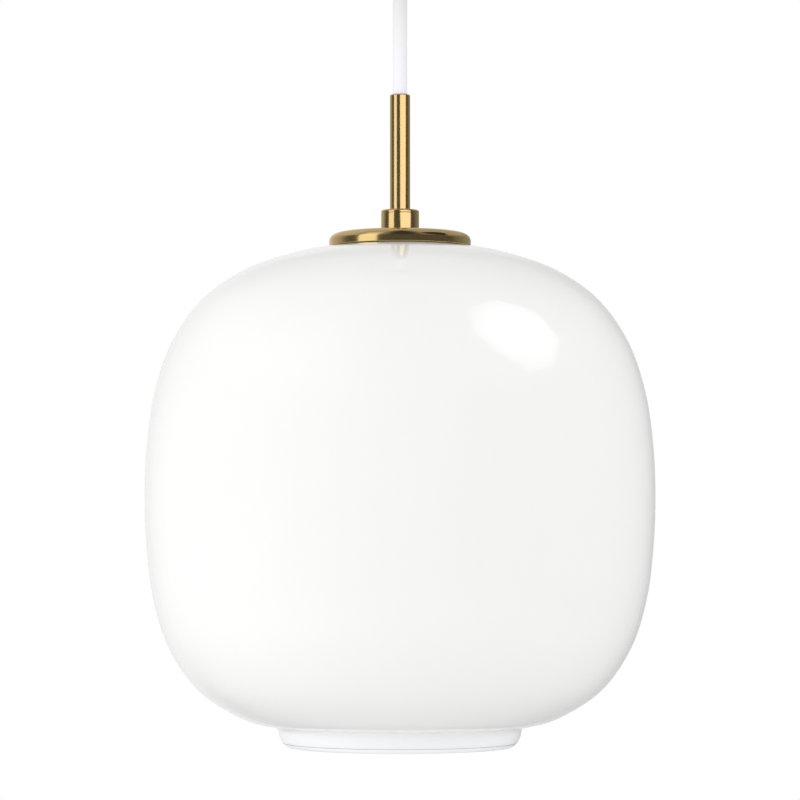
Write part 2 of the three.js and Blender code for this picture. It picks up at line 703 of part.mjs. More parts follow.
function bulbHousing() {
  const top = BULB_CAP_BOTTOM - GAP;
  const neck = BULB_CAP_RADIUS + 0.6;
  const outside = new THREE.SplineCurve([
    new THREE.Vector2(neck, top), new THREE.Vector2(neck + 1.4, top - 9),
    new THREE.Vector2(21.5, 31), new THREE.Vector2(28.6, BULB_SPLIT),
  ]).getPoints(6).map((point) => [point.x, point.y]);
  const inside = outside.map(([radius, height]) => [radius - BULB_WALL, height]);
  return turned([...outside, ...inside.reverse()], MEDIUM);
}

function bulbDiffuser() {
  const top = BULB_SPLIT - GAP;
  const centre = BULB_BOTTOM + BULB_RADIUS;
  const start = THREE.MathUtils.radToDeg(Math.asin((top - centre) / BULB_RADIUS));
  const inner = BULB_RADIUS - BULB_WALL;
  const innerStart = THREE.MathUtils.radToDeg(Math.asin((top - centre) / inner));
  const outside = arc([0, centre], BULB_RADIUS, start, -90, 7);
  const inside = arc([0, centre], inner, -90, innerStart, 7);
  outside.at(-1)[0] = 0;
  inside[0][0] = 0;
  return turned([...outside.reverse(), ...inside.reverse()], MEDIUM);
}

function bulbSet() {
  const set = new THREE.Group();
  set.add(piece('bulb_screw_cap', 'bulbCap', bulbCap()));
  set.add(piece('bulb_insulator', 'bulbBlack', bulbInsulator()));
  set.add(piece('bulb_tip_contact', 'contact', bulbTip()));
  set.add(piece('bulb_housing', 'bulbWhite', bulbHousing()));
  set.add(piece('bulb_diffuser', 'opal', bulbDiffuser()));
  const boardTop = BULB_SPLIT + 4;
  const board = ring(3, BOARD_RADIUS, boardTop - BOARD_THICKNESS, boardTop, MEDIUM);
  set.add(piece('bulb_led_board', 'board', board));
  return set;
}

// ---- assembly -----------------------------------------------------------------------------

const lamp = new THREE.Group();
lamp.position.z = LAMP_Z;
lamp.add(shadeSet(), holderSet(), lampWiring(), bulbSet());

const pendant = new THREE.Group();
pendant.add(ceilingSet(), ceilingWiring(), freeCord(), lamp);

export default pendant;
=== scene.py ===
import math

import bmesh
import bpy
from mathutils import Matrix, Quaternion, Vector


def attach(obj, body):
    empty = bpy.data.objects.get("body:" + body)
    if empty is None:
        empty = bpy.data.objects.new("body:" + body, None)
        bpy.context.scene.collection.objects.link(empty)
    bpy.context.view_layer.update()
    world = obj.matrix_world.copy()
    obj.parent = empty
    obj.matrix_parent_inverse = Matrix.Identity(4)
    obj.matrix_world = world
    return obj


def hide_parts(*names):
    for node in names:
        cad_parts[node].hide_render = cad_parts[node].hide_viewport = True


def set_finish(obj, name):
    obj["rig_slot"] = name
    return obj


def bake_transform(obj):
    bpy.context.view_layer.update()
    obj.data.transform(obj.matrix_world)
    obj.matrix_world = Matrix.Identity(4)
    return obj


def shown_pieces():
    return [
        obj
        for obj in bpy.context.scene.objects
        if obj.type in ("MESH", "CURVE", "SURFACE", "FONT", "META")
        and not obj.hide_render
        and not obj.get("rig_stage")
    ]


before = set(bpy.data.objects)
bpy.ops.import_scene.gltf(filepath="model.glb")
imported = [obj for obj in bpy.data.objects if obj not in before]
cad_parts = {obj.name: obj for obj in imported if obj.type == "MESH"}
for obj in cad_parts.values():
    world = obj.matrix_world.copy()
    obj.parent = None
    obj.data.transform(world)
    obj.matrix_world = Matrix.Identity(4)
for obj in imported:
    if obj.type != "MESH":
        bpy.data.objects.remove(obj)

# Pendant ceiling light: fine meshes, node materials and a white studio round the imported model.
# Shapes are given in millimetres and scaled to metres as they are built. Lamp heights count from
# the shade's widest plane, ceiling heights from the bracket's upper face.

MM = 0.001
LAMP = -310.4                       # height of the shade's widest plane under the ceiling
GAP = 0.3                           # left between pieces that touch
SEGMENTS = 96                       # round a small piece
FINE_SEGMENTS = 256                 # round the shade and the cap
SMOOTH_ANGLE = math.radians(40)
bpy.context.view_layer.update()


# ---- camera -----------------------------------------------------------------------------------

CAMERA_PLACE = (0.0, -1.6678, -0.3312)
CAMERA_TILT = math.radians(2.3125)  # looks slightly upwards
CAMERA_LENS = 152.95                 # millimetres on a 36 mm sensor


def add_camera():
    data = bpy.data.cameras.new("camera")
    data.lens = CAMERA_LENS
    data.sensor_width = 36
    data.clip_start, data.clip_end = 0.05, 60
    camera = bpy.data.objects.new("camera", data)
    camera.location = CAMERA_PLACE
    camera.rotation_euler = (math.pi / 2 + CAMERA_TILT, 0, 0)
    bpy.context.scene.collection.objects.link(camera)
    bpy.context.scene.camera = camera


# ---- mesh helpers -----------------------------------------------------------------------------

def to_object(name, build):
    """Closes a bmesh into an object with outward normals and smooth shading."""
    bmesh.ops.recalc_face_normals(build, faces=build.faces)
    mesh = bpy.data.meshes.new(name)
    build.to_mesh(mesh)
    build.free()
    mesh.shade_smooth()
    mesh.set_sharp_from_angle(angle=SMOOTH_ANGLE)
    made = bpy.data.objects.new(name, mesh)
    bpy.context.scene.collection.objects.link(made)
    return made


def softened(profile, radius, steps=4):
    """Rounds the sharp corners of a profile of (radius, height) points."""
    points = [Vector(point) for point in profile]
    ends_on_axis = points[0].x == 0 and points[-1].x == 0
    rounded = []
    for index, here in enumerate(points):
        before = points[index - 1]
        after = points[(index + 1) % len(points)]
        into, away = here - before, after - here
        on_axis = ends_on_axis and index in (0, len(points) - 1)
        if on_axis or into.angle(away, 0) < math.radians(20):
            rounded.append(tuple(here))
            continue
        reach = min(radius, into.length * 0.45, away.length * 0.45)
        start = here - into.normalized() * reach
        end = here + away.normalized() * reach
        for step in range(steps + 1):
            share = step / steps
            low = start.lerp(here, share)
            high = here.lerp(end, share)
            rounded.append(tuple(low.lerp(high, share)))
    return rounded


def turned(name, profile, base=0.0, soft=0.2, segments=SEGMENTS, shape=None):
    """Turns a closed profile about Z. shape(radius, height, angle) may change a point's radius."""
    outline = softened(profile, soft) if soft else profile
    build = bmesh.new()
    rows = []
    for radius, height in outline:
        level = (height + base) * MM
        if radius == 0:
            rows.append([build.verts.new((0, 0, level))])
            continue
        row = []
        for index in range(segments):
            angle = 2 * math.pi * index / segments
            across = (shape(radius, height, angle) if shape else radius) * MM
            row.append(build.verts.new((across * math.cos(angle), across * math.sin(angle), level)))
        rows.append(row)
    following = rows[1:]
    if len(rows[0]) > 1 or len(rows[-1]) > 1:
        following.append(rows[0])
    for low, high in zip(rows, following):
        if len(low) == len(high) == 1:
            continue
        for index in range(segments):
            after = (index + 1) % segments
            corners = [low[0]] if len(low) == 1 else [low[index], low[after]]
            corners += [high[0]] if len(high) == 1 else [high[after], high[index]]
            build.faces.new(corners)
    return to_object(name, build)


def arc(centre, radius, start, end, steps):
    """Points of an arc in the profile plane, angles in degrees from +radius towards +height."""
    points = []
    for index in range(steps + 1):
        angle = math.radians(start + (end - start) * index / steps)
        points.append((centre[0] + radius * math.cos(angle), centre[1] + radius * math.sin(angle)))
    return points


def spline(points, steps):
    """Even steps along a uniform Catmull-Rom curve through profile points, with its directions."""
    held = [Vector(point) for point in points]
    last = len(held) - 1
    places = []
    for index in range(steps + 1):
        along = last * index / steps
        start = min(int(along), last - 1)
        share = along - start
        before, here = held[max(start - 1, 0)], held[start]
        there, after = held[start + 1], held[min(start + 2, last)]
        leave, arrive = (there - before) / 2, (after - here) / 2
        cubic = (here - there) * 2 + leave + arrive
        square = (there - here) * 3 - leave * 2 - arrive
        place = cubic * share**3 + square * share**2 + leave * share + here
        direction = cubic * 3 * share**2 + square * 2 * share + leave
        places.append((place, direction.normalized()))
    return places


def smooth_route(points, steps):
    """A centripetal Catmull-Rom curve through points in space."""
    held = [Vector(point) for point in points]
    held = [held[0] * 2 - held[1], *held, held[-1] * 2 - held[-2]]
    route = []
    for index in range(1, len(held) - 2):
        before, here, there, after = held[index - 1:index + 3]
        pairs = ((before, here), (here, there), (there, after))
        first, middle, final = ((end - start).length ** 0.5 for start, end in pairs)
        chord = (there - here) / middle
        leave = ((here - before) / first - (there - before) / (first + middle) + chord) * middle
        arrive = (chord - (after - here) / (middle + final) + (after - there) / final) * middle
        for step in range(steps):
            share = step / steps
            route.append(
                (here - there) * (2 * share**3 - 3 * share**2) + here
                + leave * (share**3 - 2 * share**2 + share)
                + arrive * (share**3 - share**2)
            )
    route.append(held[-2])
    return route


def strand(name, points, radius, base=0.0, sides=24, steps=6):
    """A round cord or wire along a smooth curve, with rounded ends and lengthwise UVs."""
    route = [(point + Vector((0, 0, base))) * MM for point in smooth_route(points, steps)]
    build = bmesh.new()
    uv = build.loops.layers.uv.new("UVMap")
    across = Vector((1, 0, 0))
    rings, travelled = [], 0.0
    sections = [(0, 0.82, -0.18)]
    sections += [(index, 1.0, 0.0) for index in range(len(route))]
    sections += [(len(route) - 1, 0.82, 0.18)]
    lengths = []
    for index, width, push in sections:
        ahead = route[min(index + 1, len(route) - 1)] - route[max(index - 1, 0)]
        ahead.normalize()
        across = (across - ahead * across.dot(ahead)).normalized()
        beside = ahead.cross(across)
        centre = route[index] + ahead * push * radius * MM
        if rings:
            travelled += (route[index] - route[max(index - 1, 0)]).length
        lengths.append(travelled)
        ring = []
        for side in range(sides):
            angle = 2 * math.pi * side / sides
            offset = across * math.cos(angle) + beside * math.sin(angle)
            ring.append(build.verts.new(centre + offset * radius * width * MM))
        rings.append(ring)
    for order, (low, high) in enumerate(zip(rings, rings[1:])):
        for side in range(sides):
            after = (side + 1) % sides
            face = build.faces.new((low[side], low[after], high[after], high[side]))
            corners = ((side, order), (side + 1, order), (side + 1, order + 1), (side, order + 1))
            for loop, (around, step) in zip(face.loops, corners):
                loop[uv].uv = (around / sides, lengths[step] * 10)
    build.faces.new(rings[0])
    build.faces.new(rings[-1])
    return to_object(name, build), route


def moved(piece, by):
    """Shifts a piece's mesh by millimetres."""
    piece.data.transform(Matrix.Translation(Vector(by) * MM))


def laid(piece, place, axis):
    """Turns a piece built about Z so that its +Z points along axis, and puts it at place."""
    turn = Vector(axis).to_track_quat("Z", "Y").to_matrix().to_4x4()
    piece.data.transform(Matrix.Translation(Vector(place) * MM) @ turn)
    return piece


def block(name, size, height):
    """A box of that size in millimetres, centred at a height on the Z axis."""
    build = bmesh.new()
    bmesh.ops.create_cube(build, size=1)
    bmesh.ops.scale(build, vec=Vector(size) * MM, verts=build.verts)
    bmesh.ops.translate(build, vec=Vector((0, 0, height)) * MM, verts=build.verts)
    return to_object(name, build)


def cut(piece, *tools):
    """Cuts the tools out of the piece and removes them."""
    for tool in tools:
        modifier = piece.modifiers.new("cut", "BOOLEAN")
        modifier.operation = "DIFFERENCE"
        modifier.object = tool
        modifier.solver = "EXACT"
        graph = bpy.context.evaluated_depsgraph_get()
        result = bpy.data.meshes.new_from_object(piece.evaluated_get(graph))
        piece.modifiers.clear()
        piece.data = result
        bpy.data.objects.remove(tool)
    piece.data.shade_smooth()
    piece.data.set_sharp_from_angle(angle=SMOOTH_ANGLE)
    return piece


# ---- finishes ---------------------------------------------------------------------------------

class Nodes:
    """A node tree under construction."""

    tree = None

    def add(self, kind, inputs=None, **settings):
        """Adds a node, sets its settings and links or sets its inputs."""
        node = self.tree.nodes.new(kind)
        for name, value in settings.items():
            setattr(node, name, value)
        for socket, value in (inputs or {}).items():
            if isinstance(value, bpy.types.NodeSocket):
                self.tree.links.new(value, node.inputs[socket])
            else:
                node.inputs[socket].default_value = value
        return node

    def maths(self, operation, first, second=0.0, third=0.0):
        return self.add("ShaderNodeMath", {0: first, 1: second, 2: third}, operation=operation).outputs[0]


class Finish(Nodes):
    """A node material round one Principled shader."""

    def __init__(self, name, colour, roughness, **sockets):
        self.material = bpy.data.materials.new(name)
        self.material.use_nodes = True
        self.tree = self.material.node_tree
        self.shader = self.tree.nodes["Principled BSDF"]
        self.place = self.add("ShaderNodeTexCoord").outputs["Object"]
        self.shader.inputs["Base Color"].default_value = (*colour, 1)
        self.shader.inputs["Roughness"].default_value = roughness
        for socket, value in sockets.items():
            self.shader.inputs[socket.replace("_", " ")].default_value = value

    def noise(self, scale, detail=3.0, vector=None, roughness=0.55):
        inputs = {"Vector": vector or self.place, "Scale": scale, "Detail": detail, "Roughness": roughness}
        return self.add("ShaderNodeTexNoise", inputs).outputs["Fac"]

    def spread(self, value, low, high, start=0.3, end=0.7):
        """Maps value from start..end to low..high."""
        inputs = {"Value": value, "From Min": start, "From Max": end, "To Min": low, "To Max": high}
        return self.add("ShaderNodeMapRange", inputs).outputs["Result"]

    def mixed(self, factor, first, second):
        inputs = {"Factor": factor, 6: (*first, 1), 7: (*second, 1)}
        return self.add("ShaderNodeMix", inputs, data_type="RGBA").outputs[2]

    def link(self, socket, source):
        self.tree.links.new(source, self.shader.inputs[socket])

    def bump(self, height, strength, depth):
        inputs = {"Strength": strength, "Distance": depth, "Height": height}
        self.link("Normal", self.add("ShaderNodeBump", inputs).outputs["Normal"])

    def surface(self, shader):
        """Shows a shader instead of the Principled one."""
        self.tree.links.new(shader, self.tree.nodes["Material Output"].inputs["Surface"])

    def about_axis(self):
        """The coordinates of a place and its distance from the Z axis."""
        parts = self.add("ShaderNodeSeparateXYZ", {0: self.place}).outputs
        squares = [self.maths("POWER", parts[axis], 2.0) for axis in (0, 1)]
        return parts, self.maths("SQRT", self.maths("ADD", *squares))

    def round_lines(self, scale):
        """Noise drawn out round the Z axis, as a lathe or a polishing belt leaves it."""
        parts, radius = self.about_axis()
        radius = self.maths("MAXIMUM", radius, 0.0001)
        fine = self.maths("MULTIPLY", self.maths("ADD", parts[2], radius), scale)
        around = [self.maths("MULTIPLY", self.maths("DIVIDE", parts[axis], radius), 2.2) for axis in (0, 1)]
        line = self.add("ShaderNodeCombineXYZ", {0: around[0], 1: around[1], 2: fine}).outputs[0]
        return self.noise(1.0, 4.0, line)


def metal(name, light, dark, roughness, lines, grain, wear=0.06, depth=0.2):
    """Turned or brushed metal: fine round lines, a finer speckle and soft uneven patches."""
    made = Finish(name, light, roughness, Metallic=1.0)
    brushed = made.round_lines(lines)
    speckle = made.noise(grain, 2.0)
    patches = made.noise(55.0, 4.0)
    tone = made.maths("ADD", made.maths("MULTIPLY", brushed, 0.5), made.maths("MULTIPLY", speckle, 0.5))
    made.link("Base Color", made.mixed(made.spread(tone, 0.0, 1.0, 0.36, 0.64), dark, light))
    worn = made.maths("ADD", made.spread(brushed, -wear, wear), made.spread(patches, -wear / 2, wear / 2))
    made.link("Roughness", made.maths("ADD", worn, roughness))
    made.bump(tone, depth, 0.00003)
    return made.material


def plastic(name, light, dark, roughness, scale, depth=0.00002, **sockets):
    """Moulded or soft plastic: slight mottling and a fine moulded texture."""
    made = Finish(name, light, roughness, **sockets)
    patches = made.noise(scale * 0.06, 3.0)
    texture = made.noise(scale, 3.0)
    made.link("Base Color", made.mixed(made.spread(patches, 0.0, 1.0), dark, light))
    made.link("Roughness", made.spread(texture, roughness - 0.05, roughness + 0.07))
    made.bump(texture, 0.2, depth)
    return made.material


def plated(name, light, dark, roughness):
    """Zinc or nickel plate: mottled crystals with scattered dull spots."""
    made = Finish(name, light, roughness, Metallic=1.0)
    cells = made.add("ShaderNodeTexVoronoi", {"Vector": made.place, "Scale": 420.0}).outputs["Color"]
    grey = made.add("ShaderNodeRGBToBW", {0: cells}).outputs[0]
    cloud = made.noise(140.0, 4.0)
    tone = made.maths("ADD", made.maths("MULTIPLY", grey, 0.35), made.maths("MULTIPLY", cloud, 0.65))
    made.link("Base Color", made.mixed(made.spread(tone, 0.0, 1.0), dark, light))
    made.link("Roughness", made.spread(tone, roughness - 0.06, roughness + 0.1))
    made.bump(made.noise(1800.0, 3.0), 0.15, 0.00002)
    return made.material


# Heights over which the opal's colour turns into the painted light of the neck.
NECK_GLOW_TOP = (LAMP - 113) * MM
NECK_GLOW_LOW = (LAMP - 119) * MM


def opal_glass():
    """Blown opal: milky white under a clear skin. Lighter and bluer at the neck, which is painted light
    standing in for daylight shining through the glass there.
    """
    made = Finish("opal_glass", (0.9, 0.9, 0.89), 0.05, Subsurface_Weight=0.2, Subsurface_Scale=0.004)
    made.shader.inputs["Subsurface Radius"].default_value = (1.0, 1.0, 1.0)
    made.shader.inputs["IOR"].default_value = 1.5
    height = made.add("ShaderNodeSeparateXYZ", {0: made.place}).outputs[2]
    # Painted light: the neck gets a lighter, bluer colour for daylight shining through the glass.
    neck = made.spread(height, 0.0, 1.0, NECK_GLOW_TOP, NECK_GLOW_LOW)
    cloud = made.spread(made.noise(9.0, 2.0), 0.0, 1.0)
    body = made.mixed(cloud, (0.895, 0.895, 0.878), (0.91, 0.91, 0.9))
    inputs = {"Factor": neck, 6: body, 7: (0.94, 0.95, 0.97, 1)}
    made.link("Base Color", made.add("ShaderNodeMix", inputs, data_type="RGBA").outputs[2])
    made.link("Roughness", made.spread(made.noise(14.0, 2.0), 0.015, 0.035))
    made.bump(made.noise(16.0, 1.0), 0.05, 0.002)
    return made.material


def edge_glass():
    """The fire-polished lower edge, clear glass on the real shade. Its opaque pale colour, a little bluer
    than the opal, is painted light that stands in for the white studio seen through the clear glass.
    """
    # Painted light: an opaque pale colour in place of the white seen through clear glass.
    made = Finish("edge_glass", (0.93, 0.945, 0.955), 0.02, IOR=1.5)
    made.link("Roughness", made.spread(made.noise(60.0, 2.0), 0.01, 0.04))
    made.bump(made.noise(90.0, 1.0), 0.1, 0.0004)
    return made.material


def striped_wire():
    """Green insulation with yellow stripes along the wire."""
    made = Finish("wire_green_yellow", (0.1, 0.36, 0.07), 0.42)
    sheet = made.add("ShaderNodeTexCoord").outputs["UV"]
    around = made.add("ShaderNodeSeparateXYZ", {0: sheet}).outputs[0]
    wave = made.maths("SINE", made.maths("MULTIPLY", around, 4 * math.pi))
    edge = made.maths("ADD", wave, made.spread(made.noise(700.0, 2.0), -0.1, 0.1))
    stripe = made.spread(edge, 0.0, 1.0, 0.28, 0.36)
    made.link("Base Color", made.mixed(stripe, (0.09, 0.34, 0.06), (0.83, 0.7, 0.05)))
    made.bump(made.noise(1500.0, 2.0), 0.2, 0.00002)
    return made.material


def make_finishes():
    """Every finish by its name, without the number that Blender adds if the frame has that name."""
    made = (
        metal("satin_brass", (0.82, 0.6, 0.28), (0.75, 0.52, 0.225), 0.15, 5200.0, 2600.0, 0.03, 0.07),
        metal("contact_brass", (0.80, 0.60, 0.27), (0.66, 0.47, 0.2), 0.24, 2600.0, 2200.0),
        metal("nickel_plate", (0.75, 0.75, 0.74), (0.62, 0.62, 0.61), 0.22, 2400.0, 1800.0),
        plated("zinc_steel", (0.66, 0.67, 0.69), (0.5, 0.51, 0.53), 0.34),
        opal_glass(),
        edge_glass(),
        plastic(
            "white_cord", (0.8, 0.805, 0.85), (0.78, 0.785, 0.83), 0.36, 1400.0, Specular_IOR_Level=0.45),
        plastic("white_nylon", (0.8, 0.79, 0.76), (0.74, 0.73, 0.69), 0.45, 1100.0, 0.00003),
        plastic("silicone", (0.72, 0.72, 0.7), (0.66, 0.66, 0.64), 0.6, 900.0, 0.00003),
        plastic("white_ceramic", (0.84, 0.82, 0.77), (0.78, 0.76, 0.7), 0.28, 700.0, 0.00003),
        plastic("holder_plastic", (0.85, 0.84, 0.81), (0.81, 0.8, 0.76), 0.34, 1300.0),
        plastic("black_glass", (0.02, 0.02, 0.022), (0.012, 0.012, 0.013), 0.2, 600.0),
        plastic("bulb_plastic", (0.85, 0.85, 0.83), (0.81, 0.81, 0.79), 0.42, 1500.0, 0.00003),
        plastic(
            "bulb_opal", (0.88, 0.88, 0.86), (0.86, 0.86, 0.84), 0.36, 1200.0,
            Subsurface_Weight=0.3, Subsurface_Scale=0.004),
        plastic("led_board", (0.74, 0.75, 0.74), (0.68, 0.69, 0.68), 0.4, 900.0),
        plastic("phosphor", (0.86, 0.62, 0.13), (0.78, 0.53, 0.1), 0.5, 1500.0),
        plastic("wire_brown", (0.16, 0.065, 0.03), (0.12, 0.05, 0.022), 0.42, 1500.0),
        plastic("wire_blue", (0.035, 0.12, 0.42), (0.028, 0.095, 0.35), 0.42, 1500.0),
        striped_wire(),
    )
    return {material.name.split(".")[0]: material for material in made}


FINISHES = make_finishes()

# Slots that aren't named like their finish.
SLOTS = {"nickel_plate": "bulb_cap_metal", "edge_glass": "opal_glass", "phosphor": "led_board"}


def dress(piece, finish):
    """Gives a piece one finish and the slot that goes with it."""
    piece.data.materials.clear()
    piece.data.materials.append(FINISHES[finish])
    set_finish(piece, SLOTS.get(finish, finish))


def fit(piece, body, finish, node=None):
    """Dresses a piece, hides the CAD node that it is named after and lets the piece ride on a body."""
    dress(piece, finish)
    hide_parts(node or piece.name.removesuffix("_fine"))
    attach(piece, body)


# ---- cord -------------------------------------------------------------------------------------

CORD_RADIUS = 3.5
WIRE_RADIUS = 1.1
GRIP_MOUTH = -62.0
CORD_START = -114.8                 # inside the tube's mouth
CORD_END = -58.0                    # inside the cord grip


def add_free_cord():
    """The taut free cord, from the tube's mouth up into the cord grip."""
    count = 20
    points = [(0, 0, CORD_START + (CORD_END - CORD_START) * index / count) for index in range(count + 1)]
    cord, route = strand("cord_fine", points, CORD_RADIUS, sides=64, steps=3)
    dress(cord, "white_cord")
    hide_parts("cord")
    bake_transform(cord)
    return cord, route


# ---- ceiling set ------------------------------------------------------------------------------

CANOPY_RADIUS = 48.0
CANOPY_TOP = -1.0
CANOPY_BOTTOM = -48.0
CANOPY_WALL = 1.2
CANOPY_CORNER = 7.0
CANOPY_SCREW_HEIGHT = -9.0
GRIP_THREAD = 5.0
POLES = (-11.0, 0.0, 11.0)
BLOCK_BOTTOM = -16.0
BLOCK_ENTRY = -9.5
POLE_SCREW_Y = -4.5
EARTH_SCREW_X = 35.0


def add_canopy():
    corner = (CANOPY_RADIUS - CANOPY_CORNER, CANOPY_BOTTOM + CANOPY_CORNER)
    profile = [
        (GRIP_THREAD + GAP, CANOPY_BOTTOM),
        *arc(corner, CANOPY_CORNER, -90, 0, 16),
        (CANOPY_RADIUS, CANOPY_TOP),
        (CANOPY_RADIUS - CANOPY_WALL, CANOPY_TOP),
        *arc(corner, CANOPY_CORNER - CANOPY_WALL, 0, -90, 16),
        (GRIP_THREAD + GAP, CANOPY_BOTTOM + CANOPY_WALL),
    ]
    canopy = turned("canopy_fine", profile, soft=0.35, segments=192)
    hole = turned("hole", [(0, -52), (2.3, -52), (2.3, 52), (0, 52)], soft=0, segments=48)
    canopy = cut(canopy, laid(hole, (0, 0, CANOPY_SCREW_HEIGHT), (1, 0, 0)))
    canopy.visible_glossy = False
    fit(canopy, "ceiling", "satin_brass")


def add_canopy_screws():
    """Knurled thumb screws through the canopy's sides into the bracket."""
    def knurl(radius, height, angle):
        return radius - 0.16 * (1 - math.cos(36 * angle)) / 2 if radius > 4 and height > 0.7 else radius

    for side, word in ((-1, "left"), (1, "right")):
        profile = [
            (0, 5), (1.2, 5), (1.5, 4.8), (3.5, 4.8), (4.2, 4.1), (4.2, 0.9), (3.7, 0.3), (3.6, 0),
            (2, 0), (2, -8.8), (1.5, -9.3), (0, -9.3),
        ]
        screw = turned(f"canopy_screw_{word}_fine", profile, soft=0.18, segments=216, shape=knurl)
        laid(screw, (side * (CANOPY_RADIUS + GAP), 0, CANOPY_SCREW_HEIGHT), (side, 0, 0))
        fit(screw, "ceiling", "satin_brass")


def add_terminals():
    for index, x in enumerate(POLES, 1):
        profile = [(0, 4.2), (1.9, 4.2), (1.9, 0), (0, 0)]
        screw = turned(f"terminal_screw_{index}_fine", profile, soft=0.2, segments=64)
        screw = cut(screw, block("slot", (6, 0.6, 1.6), 0))
        moved(screw, (x, POLE_SCREW_Y, BLOCK_BOTTOM + 0.4))
        fit(screw, "ceiling", "contact_brass")


def add_earth_screw():
    seat = -1.8
    profile = [
        (0, seat - 2.4), (2.6, seat - 2.3), (3.5, seat - 1.6), (3.8, seat - 0.9), (3.8, seat), (0, seat),
    ]
    screw = turned("earth_screw_fine", profile, soft=0.25, segments=64)
    screw = cut(screw, block("slot", (9, 0.9, 1.8), seat - 2.4))
    moved(screw, (EARTH_SCREW_X, 0, 0))
    fit(screw, "ceiling", "contact_brass")


def add_grip():
    """White nylon cord grip under the canopy, its lock nut inside and its clamping screw."""
    seat = CANOPY_BOTTOM - GAP

    def ribs(radius, height, angle):
        if radius > 9.2 and seat - 2.7 < height < seat - 0.4:
            return radius - 0.3 * (0.5 - 0.5 * math.cos(30 * angle)) ** 2
        return radius

    flange = [(9.5, seat - 3 + 0.25 * step) for step in range(1, 12)]
    profile = [
        (3.9, GRIP_MOUTH + 2.4), (4.1, GRIP_MOUTH + 1.4), (4.5, GRIP_MOUTH + 0.5), (5.1, GRIP_MOUTH),
        (6.1, GRIP_MOUTH), (6.6, GRIP_MOUTH + 0.35), (7, GRIP_MOUTH + 1.1), (7.6, seat - 6),
        (8, seat - 4), (9.3, seat - 3), *flange, (9.3, seat),
        (GRIP_THREAD, seat), (GRIP_THREAD, CANOPY_BOTTOM + 11), (3.9, CANOPY_BOTTOM + 11),
    ]
    body = turned("cord_grip_body_fine", profile, soft=0.3, segments=240, shape=ribs)
    screw_height = GRIP_MOUTH + 6.5
    hole = turned("hole", [(0, 3), (1.8, 3), (1.8, 12), (0, 12)], soft=0, segments=48)
    body = cut(body, laid(hole, (0, 0, screw_height), (0, 1, 0)))
    fit(body, "ceiling", "white_nylon")

    nut_bottom = CANOPY_BOTTOM + CANOPY_WALL + GAP
    nut = hex_nut("cord_grip_nut_fine", 15, GRIP_THREAD + GAP, nut_bottom, nut_bottom + 5)
    fit(nut, "ceiling", "white_nylon")

    profile = [(0, 3.9), (1, 3.9), (1.5, 4.4), (1.5, 8.4), (0, 8.4)]
    screw = turned("cord_grip_screw_fine", profile, soft=0.15, segments=64)
    screw = cut(screw, block("slot", (4, 0.5, 1.4), 8.5))
    fit(laid(screw, (0, 0, screw_height), (0, 1, 0)), "ceiling", "zinc_steel")
    return body


def hex_nut(name, across, bore, bottom, top, base=0.0):
    """A hexagon nut whose corners are chamfered by a cone at both faces."""
    flat = across / 2
    corner = flat / math.cos(math.pi / 6)
    chamfer = (corner - flat) * 0.6

    def hexagon(radius, height, angle):
        if radius < flat * 0.9:
            return radius
        turn = (angle + math.pi / 6) % (math.pi / 3) - math.pi / 6
        edge = flat / math.cos(turn)
        depth = min(height - bottom, top - height)
        cone = flat + 0.15 + (corner - flat) * min(1.0, depth / chamfer)
        return min(edge, cone)

    levels = 7
    low = [(corner, bottom + chamfer * step / levels) for step in range(levels + 1)]
    high = [(corner, top - chamfer * step / levels) for step in range(levels, -1, -1)]
    profile = [
        (flat * 0.8, bottom), *low, *high, (flat * 0.8, top),
        (bore + 0.5, top), (bore, top - 0.5), (bore, bottom + 0.5), (bore + 0.5, bottom),
    ]
    return turned(name, profile, base=base, soft=0, segments=192, shape=hexagon)


def add_ceiling_wiring():
    tail, _ = strand("cord_tail_fine", [(0, 0, -57.7), (0, 0, -44), (0, 0, -30)], CORD_RADIUS, sides=48)
    fit(tail, "ceiling", "white_cord")
    names = (("live", "wire_brown"), ("earth", "wire_green_yellow"), ("neutral", "wire_blue"))
    for index, (name, finish) in enumerate(names):
        x = POLES[index]
        start = (index - 1) * 2.3
        middle = index == 1
        points = [
            (start, -1.8 if middle else 0.6, -29.7), (start, -2.5 if middle else -0.5, -26),
            (x * 0.8, -11, -22), (x, -15.5, -14.5), (x, -13.5, -10), (x, -10, BLOCK_ENTRY),
            (x, -5.5, BLOCK_ENTRY),
        ]
        wire, _ = strand(f"conductor_{name}_fine", points, WIRE_RADIUS, sides=20, steps=8)
        fit(wire, "ceiling", finish)
    points = [
        (0, 5, BLOCK_ENTRY), (0, 10.5, BLOCK_ENTRY), (6, 14, BLOCK_ENTRY), (20, 13, -7), (30, 7.5, -4.6),
        (33, 5.2, -3.4),
    ]
    link, _ = strand("earth_link_fine", points, WIRE_RADIUS, sides=20, steps=8)
    fit(link, "ceiling", "wire_green_yellow")


def dress_carried_nodes():
    """The bracket and the terminal block keep their CAD shape, with welded and bevelled edges."""
    carried = (("ceiling_bracket", "zinc_steel", 0.3), ("terminal_block", "white_nylon", 0.6))
    for node, finish, width in carried:
        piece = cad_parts[node]
        dress(piece, finish)
        weld = piece.modifiers.new("weld", "WELD")
        weld.merge_threshold = 0.000002
        bevel = piece.modifiers.new("bevel", "BEVEL")
        bevel.width = width * MM
        bevel.segments = 3
        bevel.limit_method = "ANGLE"
        bevel.angle_limit = SMOOTH_ANGLE


# ---- tube, cap and shade ----------------------------------------------------------------------

